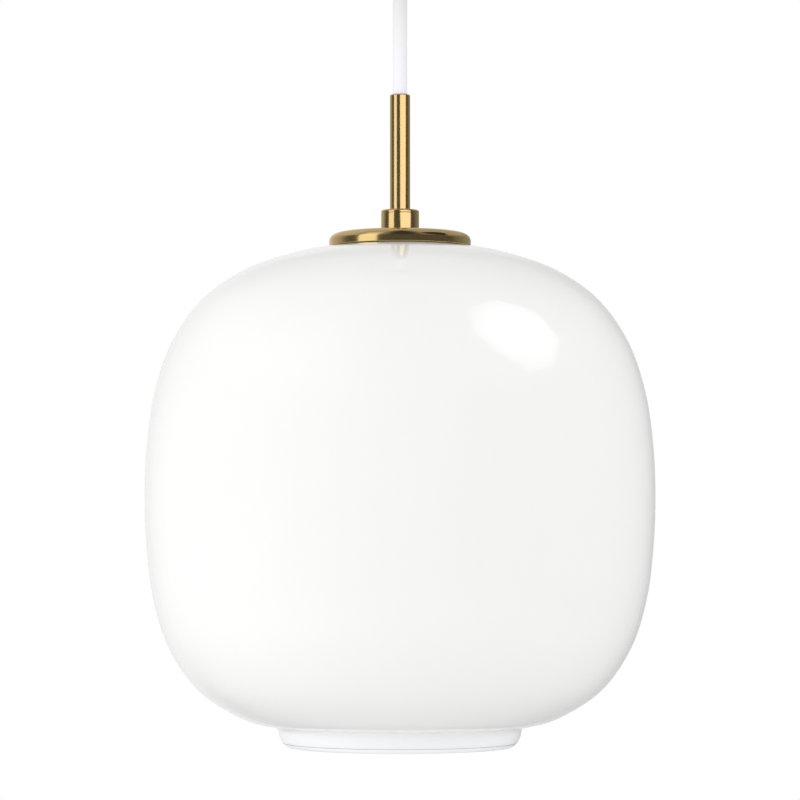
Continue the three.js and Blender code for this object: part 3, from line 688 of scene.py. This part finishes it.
TUBE_TOP = 197.1
TUBE_BOTTOM = 104.5
TUBE_RADIUS = 5.0
TUBE_BORE = 4.1
TUBE_CLEAR = TUBE_RADIUS + GAP
COLLAR_RADIUS = 9.4
COLLAR_TOP = 140.1
COLLAR_SCREW_HEIGHT = 135.5
CAP_RADIUS = 34.9
CAP_TOP = 129.1
CAP_LIP_TOP = 124.5
CAP_BOTTOM = 122.0
CAP_WALL = 1.2
SHADE_WALL = 3.5
SHADE_HOLE = 19.0
MOUTH = 51.0
RIM = -123.3
PLATE_TOP = 115.6
PLATE_BOTTOM = 113.6
PLATE_RADIUS = 32.0
SEAT_INNER = 20.5                   # ring on which the shade is clamped
SEAT_OUTER = 26.0
SEAM = -121.7                       # between the opal and the edge that closes the rim
SEAM_RADIUS = 54.4

# Outside of the shade from its top hole to the neck, then down the neck to the seam and round the
# edge: radius, height.
SHADE_OUTLINE = [
    (19, 123.2), (34.6, 121.7), (52.4, 118.5), (76.4, 110.1), (97.1, 95.7), (111.8, 75),
    (120.1, 50.9), (123.9, 25.8), (125, 0), (124, -25.2), (120.8, -50.3), (113.1, -74.6),
    (98.6, -95.4), (77.5, -109.1), (59.6, -113.9),
]
NECK_CORNER = [(61.9, -113.3), (59.65, -113.9), (59.45, -115.8)]
NECK = [(59.2, -117), (58.85, -118.2), (58.4, -119.2), (57.9, -120.2), (57.4, -121)]
EDGE = [(57.3, -121.15), (56.75, -121.8), (56.1, -122.4), (55.3, -122.9), (54.6, -123.2), (53.9, -123.3)]


def add_stem():
    profile = [
        (TUBE_BORE, TUBE_BOTTOM), (TUBE_RADIUS, TUBE_BOTTOM),
        (TUBE_RADIUS, TUBE_TOP - 0.45), (TUBE_RADIUS - 0.4, TUBE_TOP), (TUBE_BORE, TUBE_TOP),
    ]
    tube = turned("stem_tube_fine", profile, LAMP, soft=0.25, segments=128)
    fit(tube, "lamp", "satin_brass")

    bottom = CAP_TOP + GAP
    groove = COLLAR_TOP - 1.75
    profile = [
        (TUBE_CLEAR, bottom), (COLLAR_RADIUS - 0.35, bottom), (COLLAR_RADIUS, bottom + 0.4),
        (COLLAR_RADIUS, groove - 0.16), (COLLAR_RADIUS - 0.3, groove - 0.1),
        (COLLAR_RADIUS - 0.3, groove + 0.1), (COLLAR_RADIUS, groove + 0.16),
        *arc((COLLAR_RADIUS - 1.1, COLLAR_TOP - 1.1), 1.1, 0, 90, 8),
        (TUBE_CLEAR + 0.3, COLLAR_TOP), (TUBE_CLEAR, COLLAR_TOP - 0.3),
    ]
    collar = turned("stem_collar_fine", profile, LAMP, soft=0.08, segments=128)
    hole = turned("hole", [(0, 4), (1.9, 4), (1.9, 12), (0, 12)], soft=0, segments=48)
    collar = cut(collar, laid(hole, (0, 0, LAMP + COLLAR_SCREW_HEIGHT), (0, 1, 0)))
    fit(collar, "lamp", "satin_brass")

    profile = [(0, 5.4), (1, 5.4), (1.6, 6), (1.6, 9.1), (0, 9.1)]
    screw = turned("collar_screw_fine", profile, soft=0.15, segments=64)
    socket = turned("socket", [(0, 7.2), (0.85, 7.2), (0.85, 10), (0, 10)], soft=0, segments=6)
    screw = laid(cut(screw, socket), (0, 0, LAMP + COLLAR_SCREW_HEIGHT), (0, 1, 0))
    fit(screw, "lamp", "zinc_steel")


SHOULDER_SIDE = 13.5                # superellipse powers of the cap's shoulder
SHOULDER_TOP = 1.94


def cap_shoulder(radius, rise, steps=36):
    """A superellipse quarter: flat on top, round at its edge."""
    points = []
    for index in range(steps + 1):
        angle = index / steps * math.pi / 2
        across = radius * math.cos(angle) ** (2 / SHOULDER_SIDE)
        points.append((across, CAP_LIP_TOP + rise * math.sin(angle) ** (2 / SHOULDER_TOP)))
    return [point for point in points if point[0] > radius * 0.3]


def add_cap():
    outer = cap_shoulder(CAP_RADIUS, CAP_TOP - CAP_LIP_TOP)
    inner = cap_shoulder(CAP_RADIUS - CAP_WALL, CAP_TOP - CAP_WALL - CAP_LIP_TOP)
    profile = [
        (CAP_RADIUS, CAP_BOTTOM), *outer, (TUBE_CLEAR, CAP_TOP),
        (TUBE_CLEAR, CAP_TOP - CAP_WALL), *reversed(inner), (CAP_RADIUS - CAP_WALL, CAP_BOTTOM),
    ]
    cap = turned("top_cap_fine", profile, LAMP, soft=0.3, segments=FINE_SEGMENTS)
    fit(cap, "lamp", "satin_brass")


def add_shade():
    """The opal body, and the paler edge that closes its lower rim."""
    places = spline(SHADE_OUTLINE, 112)
    start, bend, end = (Vector(point) for point in NECK_CORNER)
    outside = [tuple(place) for place, _ in places if place.x > start.x or place.y > 0]
    inside = []
    for place, direction in places:
        point = place + Vector((direction.y, -direction.x)) * SHADE_WALL
        inside.append((max(point.x, SHADE_HOLE), point.y))
    fillet = []
    for index in range(7):
        share = index / 6
        fillet.append(tuple(start.lerp(bend, share).lerp(bend.lerp(end, share), share)))
    profile = [
        *outside, *fillet, *NECK, (SEAM_RADIUS, SEAM), (MOUTH + 0.1, SEAM), (MOUTH, SEAM + 0.1),
        (MOUTH, -114.5), (MOUTH + 0.5, -112.9), (MOUTH + 2, -111.5), *reversed(inside[:-4]),
    ]
    body = turned("glass_shade_opal", profile, LAMP, soft=0.12, segments=FINE_SEGMENTS)
    fit(body, "lamp", "opal_glass", "glass_shade")

    under = SEAM - 0.04
    profile = [
        *EDGE, (52.2, RIM), (51.4, RIM + 0.25), (MOUTH + 0.02, RIM + 0.8),
        (MOUTH + 0.02, under - 0.05), (MOUTH + 0.1, under), (SEAM_RADIUS, under),
    ]
    edge = turned("glass_shade_edge", profile, LAMP, soft=0.06, segments=FINE_SEGMENTS)
    fit(edge, "lamp", "edge_glass", "glass_shade")


def glass_height(radius):
    """Height of the glass's outer face near its top hole."""
    (low_radius, low_height), (high_radius, high_height) = SHADE_OUTLINE[:2]
    return low_height + (radius - low_radius) / (high_radius - low_radius) * (high_height - low_height)


def seat_ring(name, height, flat):
    """A soft ring with one face that follows the glass and one flat one."""
    edge = flat - 0.4 if flat > height(SEAT_OUTER) else flat + 0.4
    steps = [SEAT_INNER + (SEAT_OUTER - SEAT_INNER) * index / 6 for index in range(7)]
    profile = [
        *((radius, height(radius)) for radius in steps),
        (SEAT_OUTER, edge), (SEAT_OUTER - 3, flat), (SEAT_INNER, flat),
    ]
    return turned(name, profile, LAMP, soft=0.15, segments=128)


def add_clamp():
    ceiling = CAP_TOP - CAP_WALL
    upper = seat_ring("gasket_top_fine", lambda radius: glass_height(radius) + 2 * GAP, ceiling - 0.5)
    fit(upper, "lamp", "silicone")
    sink = SHADE_WALL + 0.15 + 2 * GAP
    lower = seat_ring("gasket_bottom_fine", lambda radius: glass_height(radius) - sink, PLATE_TOP + GAP)
    fit(lower, "lamp", "silicone")
    outer = SHADE_HOLE - 0.5
    low, high = PLATE_TOP + GAP, ceiling - GAP
    profile = [(TUBE_CLEAR, low), (outer, low), (outer, high), (TUBE_CLEAR, high)]
    bush = turned("centring_bush_fine", profile, LAMP, soft=0.5)
    fit(bush, "lamp", "white_nylon")
    profile = [
        (TUBE_CLEAR, PLATE_BOTTOM), (PLATE_RADIUS, PLATE_BOTTOM),
        (PLATE_RADIUS, PLATE_TOP), (TUBE_CLEAR, PLATE_TOP),
    ]
    plate = turned("clamp_plate_fine", profile, LAMP, soft=0.4, segments=128)
    fit(plate, "lamp", "zinc_steel")
    nut_top = PLATE_BOTTOM - GAP
    nut = hex_nut("clamp_nut_fine", 14, TUBE_CLEAR, nut_top - 3.5, nut_top, LAMP)
    fit(nut, "lamp", "zinc_steel")


# ---- lampholder -------------------------------------------------------------------------------

HOLDER_RADIUS = 20.5
HOLDER_TOP = 109.2
HOLDER_JOIN = 93.0
HOLDER_BOTTOM = 56.0
HOLDER_WALL = 1.8
HOLDER_SHOULDER = 12.0              # radius of the dome's shoulder
CORE_BOTTOM = 82.0
CORE_TOP = 92.0
SHELL_BOTTOM = 60.0
CONTACT_HEIGHT = 79.4
THREAD_PITCH = 3.63
THREADED_WALL = 0.35                # sheet that the shell and the bulb's cap are rolled from
THREAD_DEPTH = 0.45                 # half the height of a thread's ridge
CAP_THREAD_RADIUS = 12.65           # mean radius of the bulb cap's thread
SHELL_THREAD_RADIUS = 13.3          # mean radius of the shell's thread


def thread(height, angle, low, high, run_in, run_out):
    """Wave of a right-handed screw thread that fades in above low and out below high."""
    ease = min(1.0, (height - low) / run_in, (high - height) / run_out)
    return ease * THREAD_DEPTH * math.cos(2 * math.pi * height / THREAD_PITCH - angle)


def add_holder():
    inner = HOLDER_RADIUS - HOLDER_WALL
    shoulder = (HOLDER_RADIUS - HOLDER_SHOULDER, HOLDER_TOP - HOLDER_SHOULDER)
    neck = TUBE_CLEAR + 2.5
    dome_profile = [
        (HOLDER_RADIUS, HOLDER_JOIN), *arc(shoulder, HOLDER_SHOULDER, 0, 90, 20),
        (TUBE_CLEAR, HOLDER_TOP), (TUBE_CLEAR, HOLDER_TOP - 5.6), (neck, HOLDER_TOP - 5.6),
        (neck, HOLDER_TOP - HOLDER_WALL), *arc(shoulder, HOLDER_SHOULDER - HOLDER_WALL, 90, 0, 20),
        (inner, HOLDER_JOIN),
    ]
    dome = turned("holder_dome_fine", dome_profile, LAMP, soft=0.3, segments=128)
    fit(dome, "lamp", "holder_plastic")

    low, high = HOLDER_BOTTOM + 8, HOLDER_JOIN - 6

    def ribs(radius, height, angle):
        if radius < HOLDER_RADIUS - 0.1 or not low < height < high:
            return radius
        ease = min(1.0, (height - low) / 1.5, (high - height) / 1.5)
        return radius - 0.45 * ease * (0.5 - 0.5 * math.cos(40 * angle)) ** 3

    top = HOLDER_JOIN - GAP
    start = HOLDER_BOTTOM + 3
    levels = [(HOLDER_RADIUS, start + (top - 0.4 - start) * step / 48) for step in range(49)]
    profile = [
        (inner, start), (inner - 2, HOLDER_BOTTOM), (HOLDER_RADIUS - 2, HOLDER_BOTTOM),
        *levels, (HOLDER_RADIUS - 0.4, top), (inner, top),
    ]
    skirt = turned("holder_skirt_fine", profile, LAMP, soft=0.35, segments=320, shape=ribs)
    fit(skirt, "lamp", "holder_plastic")

    outer = inner - GAP
    pocket = CORE_BOTTOM + 1.4
    profile = [
        (0, pocket), (5, pocket), (5, CORE_BOTTOM), (outer, CORE_BOTTOM), (outer, CORE_TOP), (0, CORE_TOP),
    ]
    core = turned("holder_core_fine", profile, LAMP, soft=0.45, segments=128)
    fit(core, "lamp", "white_ceramic")


def add_contacts():
    """The threaded shell, the sprung centre contact and the three wire terminals."""
    wall = THREADED_WALL
    top = CORE_BOTTOM - GAP
    thread_low, thread_high = SHELL_BOTTOM + 1.6, top - 3.0

    def rolled(radius, height, angle):
        if not thread_low < height < thread_high or radius < SHELL_THREAD_RADIUS - 0.2:
            return radius
        return radius + thread(height, angle, thread_low, thread_high, 2.0, 2.0)

    count = 72
    levels = [SHELL_BOTTOM + (top - 1.0 - SHELL_BOTTOM) * step / count for step in range(count + 1)]
    inner = [(SHELL_THREAD_RADIUS + 0.1, level) for level in levels]
    outer = [(SHELL_THREAD_RADIUS + 0.1 + wall, level) for level in levels]
    profile = [
        *outer, (SHELL_THREAD_RADIUS + 0.45, top), (9, top), (9, top - wall),
        (SHELL_THREAD_RADIUS, top - wall - 0.1), *reversed(inner),
    ]
    shell = turned("holder_shell_fine", profile, LAMP, soft=0, segments=192, shape=rolled)
    fit(shell, "lamp", "contact_brass")

    button = CONTACT_HEIGHT
    profile = [
        (0, button), (1.6, button + 0.06), (2.6, button + 0.25), (3.4, button + 0.7), (3.4, button + 1.2),
        (1.5, button + 1.2), (1.5, CORE_BOTTOM + 0.2), (0, CORE_BOTTOM + 0.2),
    ]
    contact = turned("centre_contact_fine", profile, LAMP, soft=0.12)
    fit(contact, "sprung_contact", "contact_brass")

    bottom = CORE_TOP + GAP
    for index, (x, y) in enumerate(((-10, 0), (10, 0), (0, 10)), 1):
        profile = [(0, bottom), (2.4, bottom), (2.4, bottom + 2.2), (1.8, bottom + 2.8), (0, bottom + 2.8)]
        screw = turned(f"holder_terminal_{index}_fine", profile, LAMP, soft=0.2, segments=64)
        screw = cut(screw, block("slot", (6, 0.7, 1.6), LAMP + bottom + 2.8))
        moved(screw, (x, y, 0))
        fit(screw, "lamp", "contact_brass")


def add_lamp_wiring():
    points = [(0, 0, 104), (0, 0, 150), (0, 0, 195.3)]
    inner, _ = strand("inner_cord_fine", points, CORD_RADIUS, LAMP, sides=48)
    fit(inner, "lamp", "white_cord")
    top, end = 103.7, 93.6
    side = [(0, 0), (-0.1, -1.4), (-2.4, -4), (-4.6, -7)]
    for sign, name, finish in ((-1, "live", "wire_brown"), (1, "neutral", "wire_blue")):
        reach = (2, 2, 4, 8)
        points = [(sign * x, y, top + drop) for x, (y, drop) in zip(reach, side)]
        points.append((sign * 10.6, -4.8, end))
        wire, _ = strand(f"inner_{name}_fine", points, WIRE_RADIUS, LAMP, sides=20, steps=8)
        fit(wire, "lamp", finish)
    points = [(0, 2, top), (0.1, 2.1, top - 1.4), (1.6, 4.4, top - 4), (4, 8, top - 7), (4.6, 10.4, end)]
    wire, _ = strand("inner_earth_fine", points, WIRE_RADIUS, LAMP, sides=20, steps=8)
    fit(wire, "lamp", "wire_green_yellow")


# ---- bulb -------------------------------------------------------------------------------------

BULB_TIP = 78.9
BULB_CAP_TOP = 73.0
BULB_CAP_BOTTOM = 51.0
BULB_SPLIT = 15.0
BULB_RADIUS = 30.0
BULB_BOTTOM = -31.0
BULB_WALL = 1.4
BOARD_RADIUS = 24.0
BOARD_THICKNESS = 1.6
CHIPS = 10
CHIP_RING = 17.0
CHIP_SIZE = (2.8, 2.8, 0.6)


def add_bulb_base():
    wall = THREADED_WALL
    thread_low, thread_high = BULB_CAP_BOTTOM + 4.0, BULB_CAP_TOP - 1.2

    def rolled(radius, height, angle):
        if not thread_low < height < thread_high or radius < CAP_THREAD_RADIUS - 0.5:
            return radius
        return radius + thread(height, angle, thread_low, thread_high, 2.5, 2.0)

    count = 72
    start, stop = BULB_CAP_BOTTOM + 0.4, BULB_CAP_TOP - 0.8
    levels = [start + (stop - start) * step / count for step in range(count + 1)]
    profile = [
        (CAP_THREAD_RADIUS + 0.25, BULB_CAP_BOTTOM), *((CAP_THREAD_RADIUS, level) for level in levels),
        (CAP_THREAD_RADIUS - 0.7, BULB_CAP_TOP - 0.2), (11.1, BULB_CAP_TOP), (10.9, BULB_CAP_TOP - wall),
        (CAP_THREAD_RADIUS - 1.0, BULB_CAP_TOP - 0.9),
        *((CAP_THREAD_RADIUS - wall, level) for level in reversed(levels)),
        (CAP_THREAD_RADIUS - 0.1, BULB_CAP_BOTTOM),
    ]
    cap = turned("bulb_screw_cap_fine", profile, LAMP, soft=0, segments=192, shape=rolled)
    fit(cap, "bulb", "nickel_plate")

    low = BULB_CAP_TOP + GAP
    profile = [
        (5.2, low), (11.1, low), (10.4, low + 1), (8.6, low + 2.6), (7, BULB_TIP - 1.6),
        (5.2, BULB_TIP - 1.6),
    ]
    insulator = turned("bulb_insulator_fine", profile, LAMP, soft=0.3)
    fit(insulator, "bulb", "black_glass")

    profile = [
        (0, low), (4.9, low), (4.9, BULB_TIP - 1.2), (4.2, BULB_TIP - 0.7), (3, BULB_TIP - 0.25),
        (1.6, BULB_TIP - 0.05), (0, BULB_TIP),
    ]
    tip = turned("bulb_tip_contact_fine", profile, LAMP, soft=0.2)
    fit(tip, "bulb_travelling", "contact_brass")


def add_bulb_body():
    top = BULB_CAP_BOTTOM - GAP
    neck = 13.7
    sides = spline([(neck, top), (neck + 1.4, top - 9), (21.5, 31), (28.6, BULB_SPLIT)], 40)
    outside = [tuple(place) for place, _ in sides]
    inside = [(radius - BULB_WALL, height) for radius, height in outside]
    housing = turned("bulb_housing_fine", [*outside, *reversed(inside)], LAMP, soft=0.25, segments=192)
    fit(housing, "bulb", "bulb_plastic")

    rim = BULB_SPLIT - GAP
    centre = BULB_BOTTOM + BULB_RADIUS
    inner = BULB_RADIUS - BULB_WALL
    start = math.degrees(math.asin((rim - centre) / BULB_RADIUS))
    inner_start = math.degrees(math.asin((rim - centre) / inner))
    outer_arc = arc((0, centre), BULB_RADIUS, start, -90, 48)[:-1]
    inner_arc = arc((0, centre), inner, -90, inner_start, 48)[1:]
    profile = [(0, centre - inner), *inner_arc, *outer_arc, (0, BULB_BOTTOM)]
    diffuser = turned("bulb_diffuser_fine", profile, LAMP, soft=0.2, segments=192)
    fit(diffuser, "bulb", "bulb_opal")


def add_led_board():
    high = BULB_SPLIT + 4
    low = high - BOARD_THICKNESS
    profile = [(3, low), (BOARD_RADIUS, low), (BOARD_RADIUS, high), (3, high)]
    fit(turned("bulb_led_board_fine", profile, LAMP, soft=0.2), "bulb", "led_board")

    build = bmesh.new()
    size = Matrix.Diagonal((*(side * MM for side in CHIP_SIZE), 1))
    for index in range(CHIPS):
        angle = 2 * math.pi * index / CHIPS
        spot = Vector((CHIP_RING * math.cos(angle), CHIP_RING * math.sin(angle), LAMP + low - 0.35))
        place = Matrix.Translation(spot * MM) @ Matrix.Rotation(angle, 4, "Z")
        made = bmesh.ops.create_cube(build, size=1, matrix=place @ size)
        edges = {edge for vert in made["verts"] for edge in vert.link_edges}
        bmesh.ops.bevel(
            build, geom=list(edges), offset=0.12 * MM, segments=2, affect="EDGES", profile=0.5)
    fit(to_object("bulb_led_chips", build), "bulb", "phosphor", "bulb_led_board")


# ---- studio -----------------------------------------------------------------------------------

FLOOR_DROP = 1.0                    # floor under the lamp's rim, metres
FLOOR_RADIUS = 2.4
OCTABOX_RADIUS = 0.45
OCTABOX_AIM = (71.5, 45.6)          # azimuth and elevation, degrees
LIGHT_DISTANCE = 1.3                # of the octabox and the strips, metres
INNER_GLOW_POWER = 0.17             # watts
INNER_GLOW_HEIGHT = -62.0           # under the bulb, over the widest plane
STEM_MIDDLE = -160.0                # height that the strips aim at

# Brightness of what the gloss mirrors, by azimuth in degrees from the camera's side: the walls, and
# the ceiling over them. Under the lamp it is even.
WALL_BANDS = [
    (-180, 0.95), (-165, 0.8), (-150, 0.62), (-128, 0.48), (-112, 0.35), (-100, 0.16), (-92, 0.08),
    (90, 0.08), (106, 0.17), (133, 0.27), (160, 0.32), (171, 0.6), (180, 0.95),
]
CEILING_BANDS = [
    (-180, 0.55), (-140, 0.62), (-110, 0.58), (-85, 0.45), (-45, 0.5), (-28, 0.24), (-14, 0.04),
    (20, 0.03), (35, 0.14), (60, 0.4), (110, 0.4), (150, 0.45), (180, 0.55),
]
GLOSS_BELOW = 0.35

# Soft light: its colour all round, and what each direction adds. x is right, y is away from the
# camera and z is up, so xx is both sides and xy is behind right and in front left.
SOFT_LEVEL = (0.88, 0.88, 0.9)
SOFT_GAINS = {"x": -0.06, "y": -0.16, "xx": 0.58, "zz": -0.17, "xy": 0.3, "xz": 0.1}
SIDE_TINT = (1, 1, 0.92)            # the side light is a little warmer


def add_floor():
    """A pale round floor that fades into the white studio."""
    build = bmesh.new()
    bmesh.ops.create_circle(build, cap_ends=True, segments=128, radius=FLOOR_RADIUS)
    floor = to_object("floor", build)
    floor.location.z = (LAMP + RIM) * MM - FLOOR_DROP
    made = Finish("floor", (0.86, 0.86, 0.855), 0.6)
    made.link("Roughness", made.spread(made.noise(40.0, 3.0), 0.55, 0.7))
    _, radius = made.about_axis()
    fade = made.spread(radius, 0.0, 1.0, FLOOR_RADIUS * 0.3, FLOOR_RADIUS * 0.98)
    clear = made.add("ShaderNodeBsdfTransparent").outputs[0]
    hidden = made.maths("MAXIMUM", fade, made.add("ShaderNodeNewGeometry").outputs["Backfacing"])
    inputs = {0: hidden, 1: made.shader.outputs[0], 2: clear}
    made.surface(made.add("ShaderNodeMixShader", inputs).outputs[0])
    floor.data.materials.append(made.material)
    floor.visible_diffuse = floor.visible_glossy = False
    floor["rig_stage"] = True


def aimed(azimuth, elevation):
    """Direction from the lamp, by azimuth from the camera's side and elevation in degrees."""
    turn, rise = math.radians(azimuth), math.radians(elevation)
    return Vector((math.sin(turn) * math.cos(rise), -math.cos(turn) * math.cos(rise), math.sin(rise)))


def add_octabox(receivers):
    """An eight-sided softbox, brightest in its middle, that only the gloss shows."""
    build = bmesh.new()
    bmesh.ops.create_circle(build, cap_ends=True, segments=8, radius=OCTABOX_RADIUS)
    box = to_object("octabox", build)
    aim = aimed(*OCTABOX_AIM)
    box.location = Vector((0, 0, LAMP * MM)) + aim * LIGHT_DISTANCE
    level = Quaternion((0, 0, 1), math.radians(22.5))
    box.rotation_euler = (aim.to_track_quat("Z", "Y") @ level).to_euler()
    for ray in ("camera", "diffuse", "shadow", "transmission"):
        setattr(box, f"visible_{ray}", False)
    made = Finish("octabox", (1, 1, 1), 1.0)
    radius = made.add("ShaderNodeVectorMath", {0: made.place}, operation="LENGTH").outputs["Value"]
    strength = made.spread(radius, 3.6, 1.2, OCTABOX_RADIUS * 0.22, OCTABOX_RADIUS)
    made.surface(made.add("ShaderNodeEmission", {"Strength": strength}).outputs[0])
    box.data.materials.append(made.material)
    box.light_linking.receiver_collection = receivers
    box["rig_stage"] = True


def add_strip(name, azimuths, elevations, brightness, receivers, diffuse=False):
    """A light panel that faces the stem and lights only its receivers."""
    def across(angles):
        return 2 * LIGHT_DISTANCE * math.tan(math.radians(angles[1] - angles[0]) / 2)

    turn, rise = sum(azimuths) / 2, sum(elevations) / 2
    data = bpy.data.lights.new(name, "AREA")
    data.shape = "RECTANGLE"
    data.size = across(azimuths) * math.cos(math.radians(rise))
    data.size_y = across(elevations)
    data.energy = brightness * math.pi * data.size * data.size_y
    light = bpy.data.objects.new(name, data)
    aim = aimed(turn, rise)
    light.location = Vector((0, 0, STEM_MIDDLE * MM)) + aim * LIGHT_DISTANCE
    light.rotation_euler = aim.to_track_quat("Z", "Y").to_euler()
    light.visible_camera = False
    light.visible_diffuse = diffuse
    light.light_linking.receiver_collection = receivers
    bpy.context.scene.collection.objects.link(light)


class Surroundings(Nodes):
    """White behind the lamp, soft light on it, and bright and dark walls for its gloss."""

    def __init__(self):
        world = bpy.data.worlds.new("studio")
        bpy.context.scene.world = world
        world.use_nodes = True
        self.tree = world.node_tree
        self.tree.nodes.clear()
        direction = self.add("ShaderNodeTexCoord").outputs["Generated"]
        self.x, self.y, self.z = self.add("ShaderNodeSeparateXYZ", {0: direction}).outputs
        path = self.add("ShaderNodeLightPath").outputs
        inputs = {0: path["Is Glossy Ray"], 4: self.soft_light(), 5: self.mirrored()}
        light = self.add("ShaderNodeMix", inputs, data_type="VECTOR").outputs[1]
        through_glass = self.maths("MINIMUM", path["Transmission Depth"], 1.0)
        seen = self.maths("MAXIMUM", path["Is Camera Ray"], through_glass)
        light = self.add("ShaderNodeMix", {0: seen, 4: light, 5: (1, 1, 1)}, data_type="VECTOR").outputs[1]
        background = self.add("ShaderNodeBackground", {"Color": light, "Strength": 1.0}).outputs[0]
        self.tree.links.new(background, self.add("ShaderNodeOutputWorld").inputs["Surface"])

    def grey(self, value):
        return self.add("ShaderNodeCombineXYZ", {0: value, 1: value, 2: value}).outputs[0]

    def soft_light(self):
        """The even level with each direction's gain."""
        axes = {"x": self.x, "y": self.y, "z": self.z}
        light = SOFT_LEVEL
        for term, gain in SOFT_GAINS.items():
            factor = axes[term] if term in axes else self.maths("MULTIPLY", axes[term[0]], axes[term[1]])
            colour = [gain * part for part in SIDE_TINT] if term == "xx" else [gain] * 3
            inputs = {0: self.grey(factor), 1: colour, 2: light}
            light = self.add("ShaderNodeVectorMath", inputs, operation="MULTIPLY_ADD").outputs[0]
        return self.add("ShaderNodeVectorMath", {0: light, 1: (0, 0, 0)}, operation="MAXIMUM").outputs[0]

    def bands(self, levels):
        """Brightness by azimuth."""
        azimuth = self.maths("ARCTAN2", self.x, self.maths("MULTIPLY", self.y, -1.0))
        turn = self.maths("MULTIPLY_ADD", azimuth, 1 / (2 * math.pi), 0.5)
        ramp = self.add("ShaderNodeValToRGB", {0: turn})
        stops = ramp.color_ramp.elements
        stops.remove(stops[-1])
        for index, (degrees, value) in enumerate(levels):
            stop = stops[0] if index == 0 else stops.new(degrees / 360 + 0.5)
            stop.color = (value, value, value, 1)
        return ramp.outputs[0]

    def eased(self, low, high):
        """Goes smoothly from 0 to 1 between two heights."""
        inputs = {"Value": self.z, "From Min": low, "From Max": high}
        return self.add("ShaderNodeMapRange", inputs, interpolation_type="SMOOTHSTEP").outputs[0]

    def mirrored(self):
        """What the gloss sees: walls, a brighter ceiling and an even light below."""
        inputs = {0: self.eased(0.3, 0.55), 2: self.bands(WALL_BANDS), 3: self.bands(CEILING_BANDS)}
        above = self.add("ShaderNodeMix", inputs).outputs[0]
        inputs = {0: self.eased(-0.2, -0.5), 2: above, 3: GLOSS_BELOW}
        return self.grey(self.add("ShaderNodeMix", inputs).outputs[0])


def add_inner_glow():
    """The daylight that the opal glass lets through, which brightens the inside of the shade."""
    data = bpy.data.lights.new("inner_glow", "POINT")
    data.energy = INNER_GLOW_POWER
    data.shadow_soft_size = 0.02
    light = bpy.data.objects.new("inner_glow", data)
    light.location = (0, 0, (LAMP + INNER_GLOW_HEIGHT) * MM)
    light.visible_camera = light.visible_glossy = False
    bpy.context.scene.collection.objects.link(light)


def gathered(name, wanted):
    """A collection of the pieces that a light is for."""
    group = bpy.data.collections.new(name)
    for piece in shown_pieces():
        if wanted(piece):
            group.objects.link(piece)
    return group


def add_studio():
    bpy.context.scene.view_settings.view_transform = "Standard"
    bpy.context.scene.view_settings.look = "None"
    Surroundings()
    add_floor()
    add_octabox(gathered("glass_pieces", lambda piece: piece.name.startswith("glass_shade")))
    brass = gathered("brass_pieces", lambda piece: piece.get("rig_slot") == "satin_brass")
    cap = gathered("cap_pieces", lambda piece: piece.name == "top_cap_fine")
    stem = gathered(
        "stem_pieces", lambda piece: piece.name in brass.objects and piece.name not in cap.objects)
    add_strip("strip_right", (-0.5, 70), (-4, 48), 1.22, stem)
    add_strip("strip_left", (-71, -37), (-28, 28), 1.1, brass)
    add_strip("cap_light", (54, 88), (25, 62), 0.72, cap)
    add_strip("cap_light_left", (-66, -36), (28, 50), 0.4, cap)
    cords = gathered("cord_pieces", lambda piece: piece.get("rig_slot") == "white_cord")
    add_inner_glow()
    add_strip("cord_light", (-22, 18), (-20, 20), 1.0, cords, diffuse=True)


# ---- assembly ---------------------------------------------------------------------------------

add_camera()
cord, cord_route = add_free_cord()
add_canopy()
add_canopy_screws()
add_terminals()
add_earth_screw()
grip = add_grip()
add_ceiling_wiring()
dress_carried_nodes()
add_stem()
add_cap()
add_shade()
add_clamp()
add_holder()
add_contacts()
add_lamp_wiring()
add_bulb_base()
add_bulb_body()
add_led_board()
add_studio()
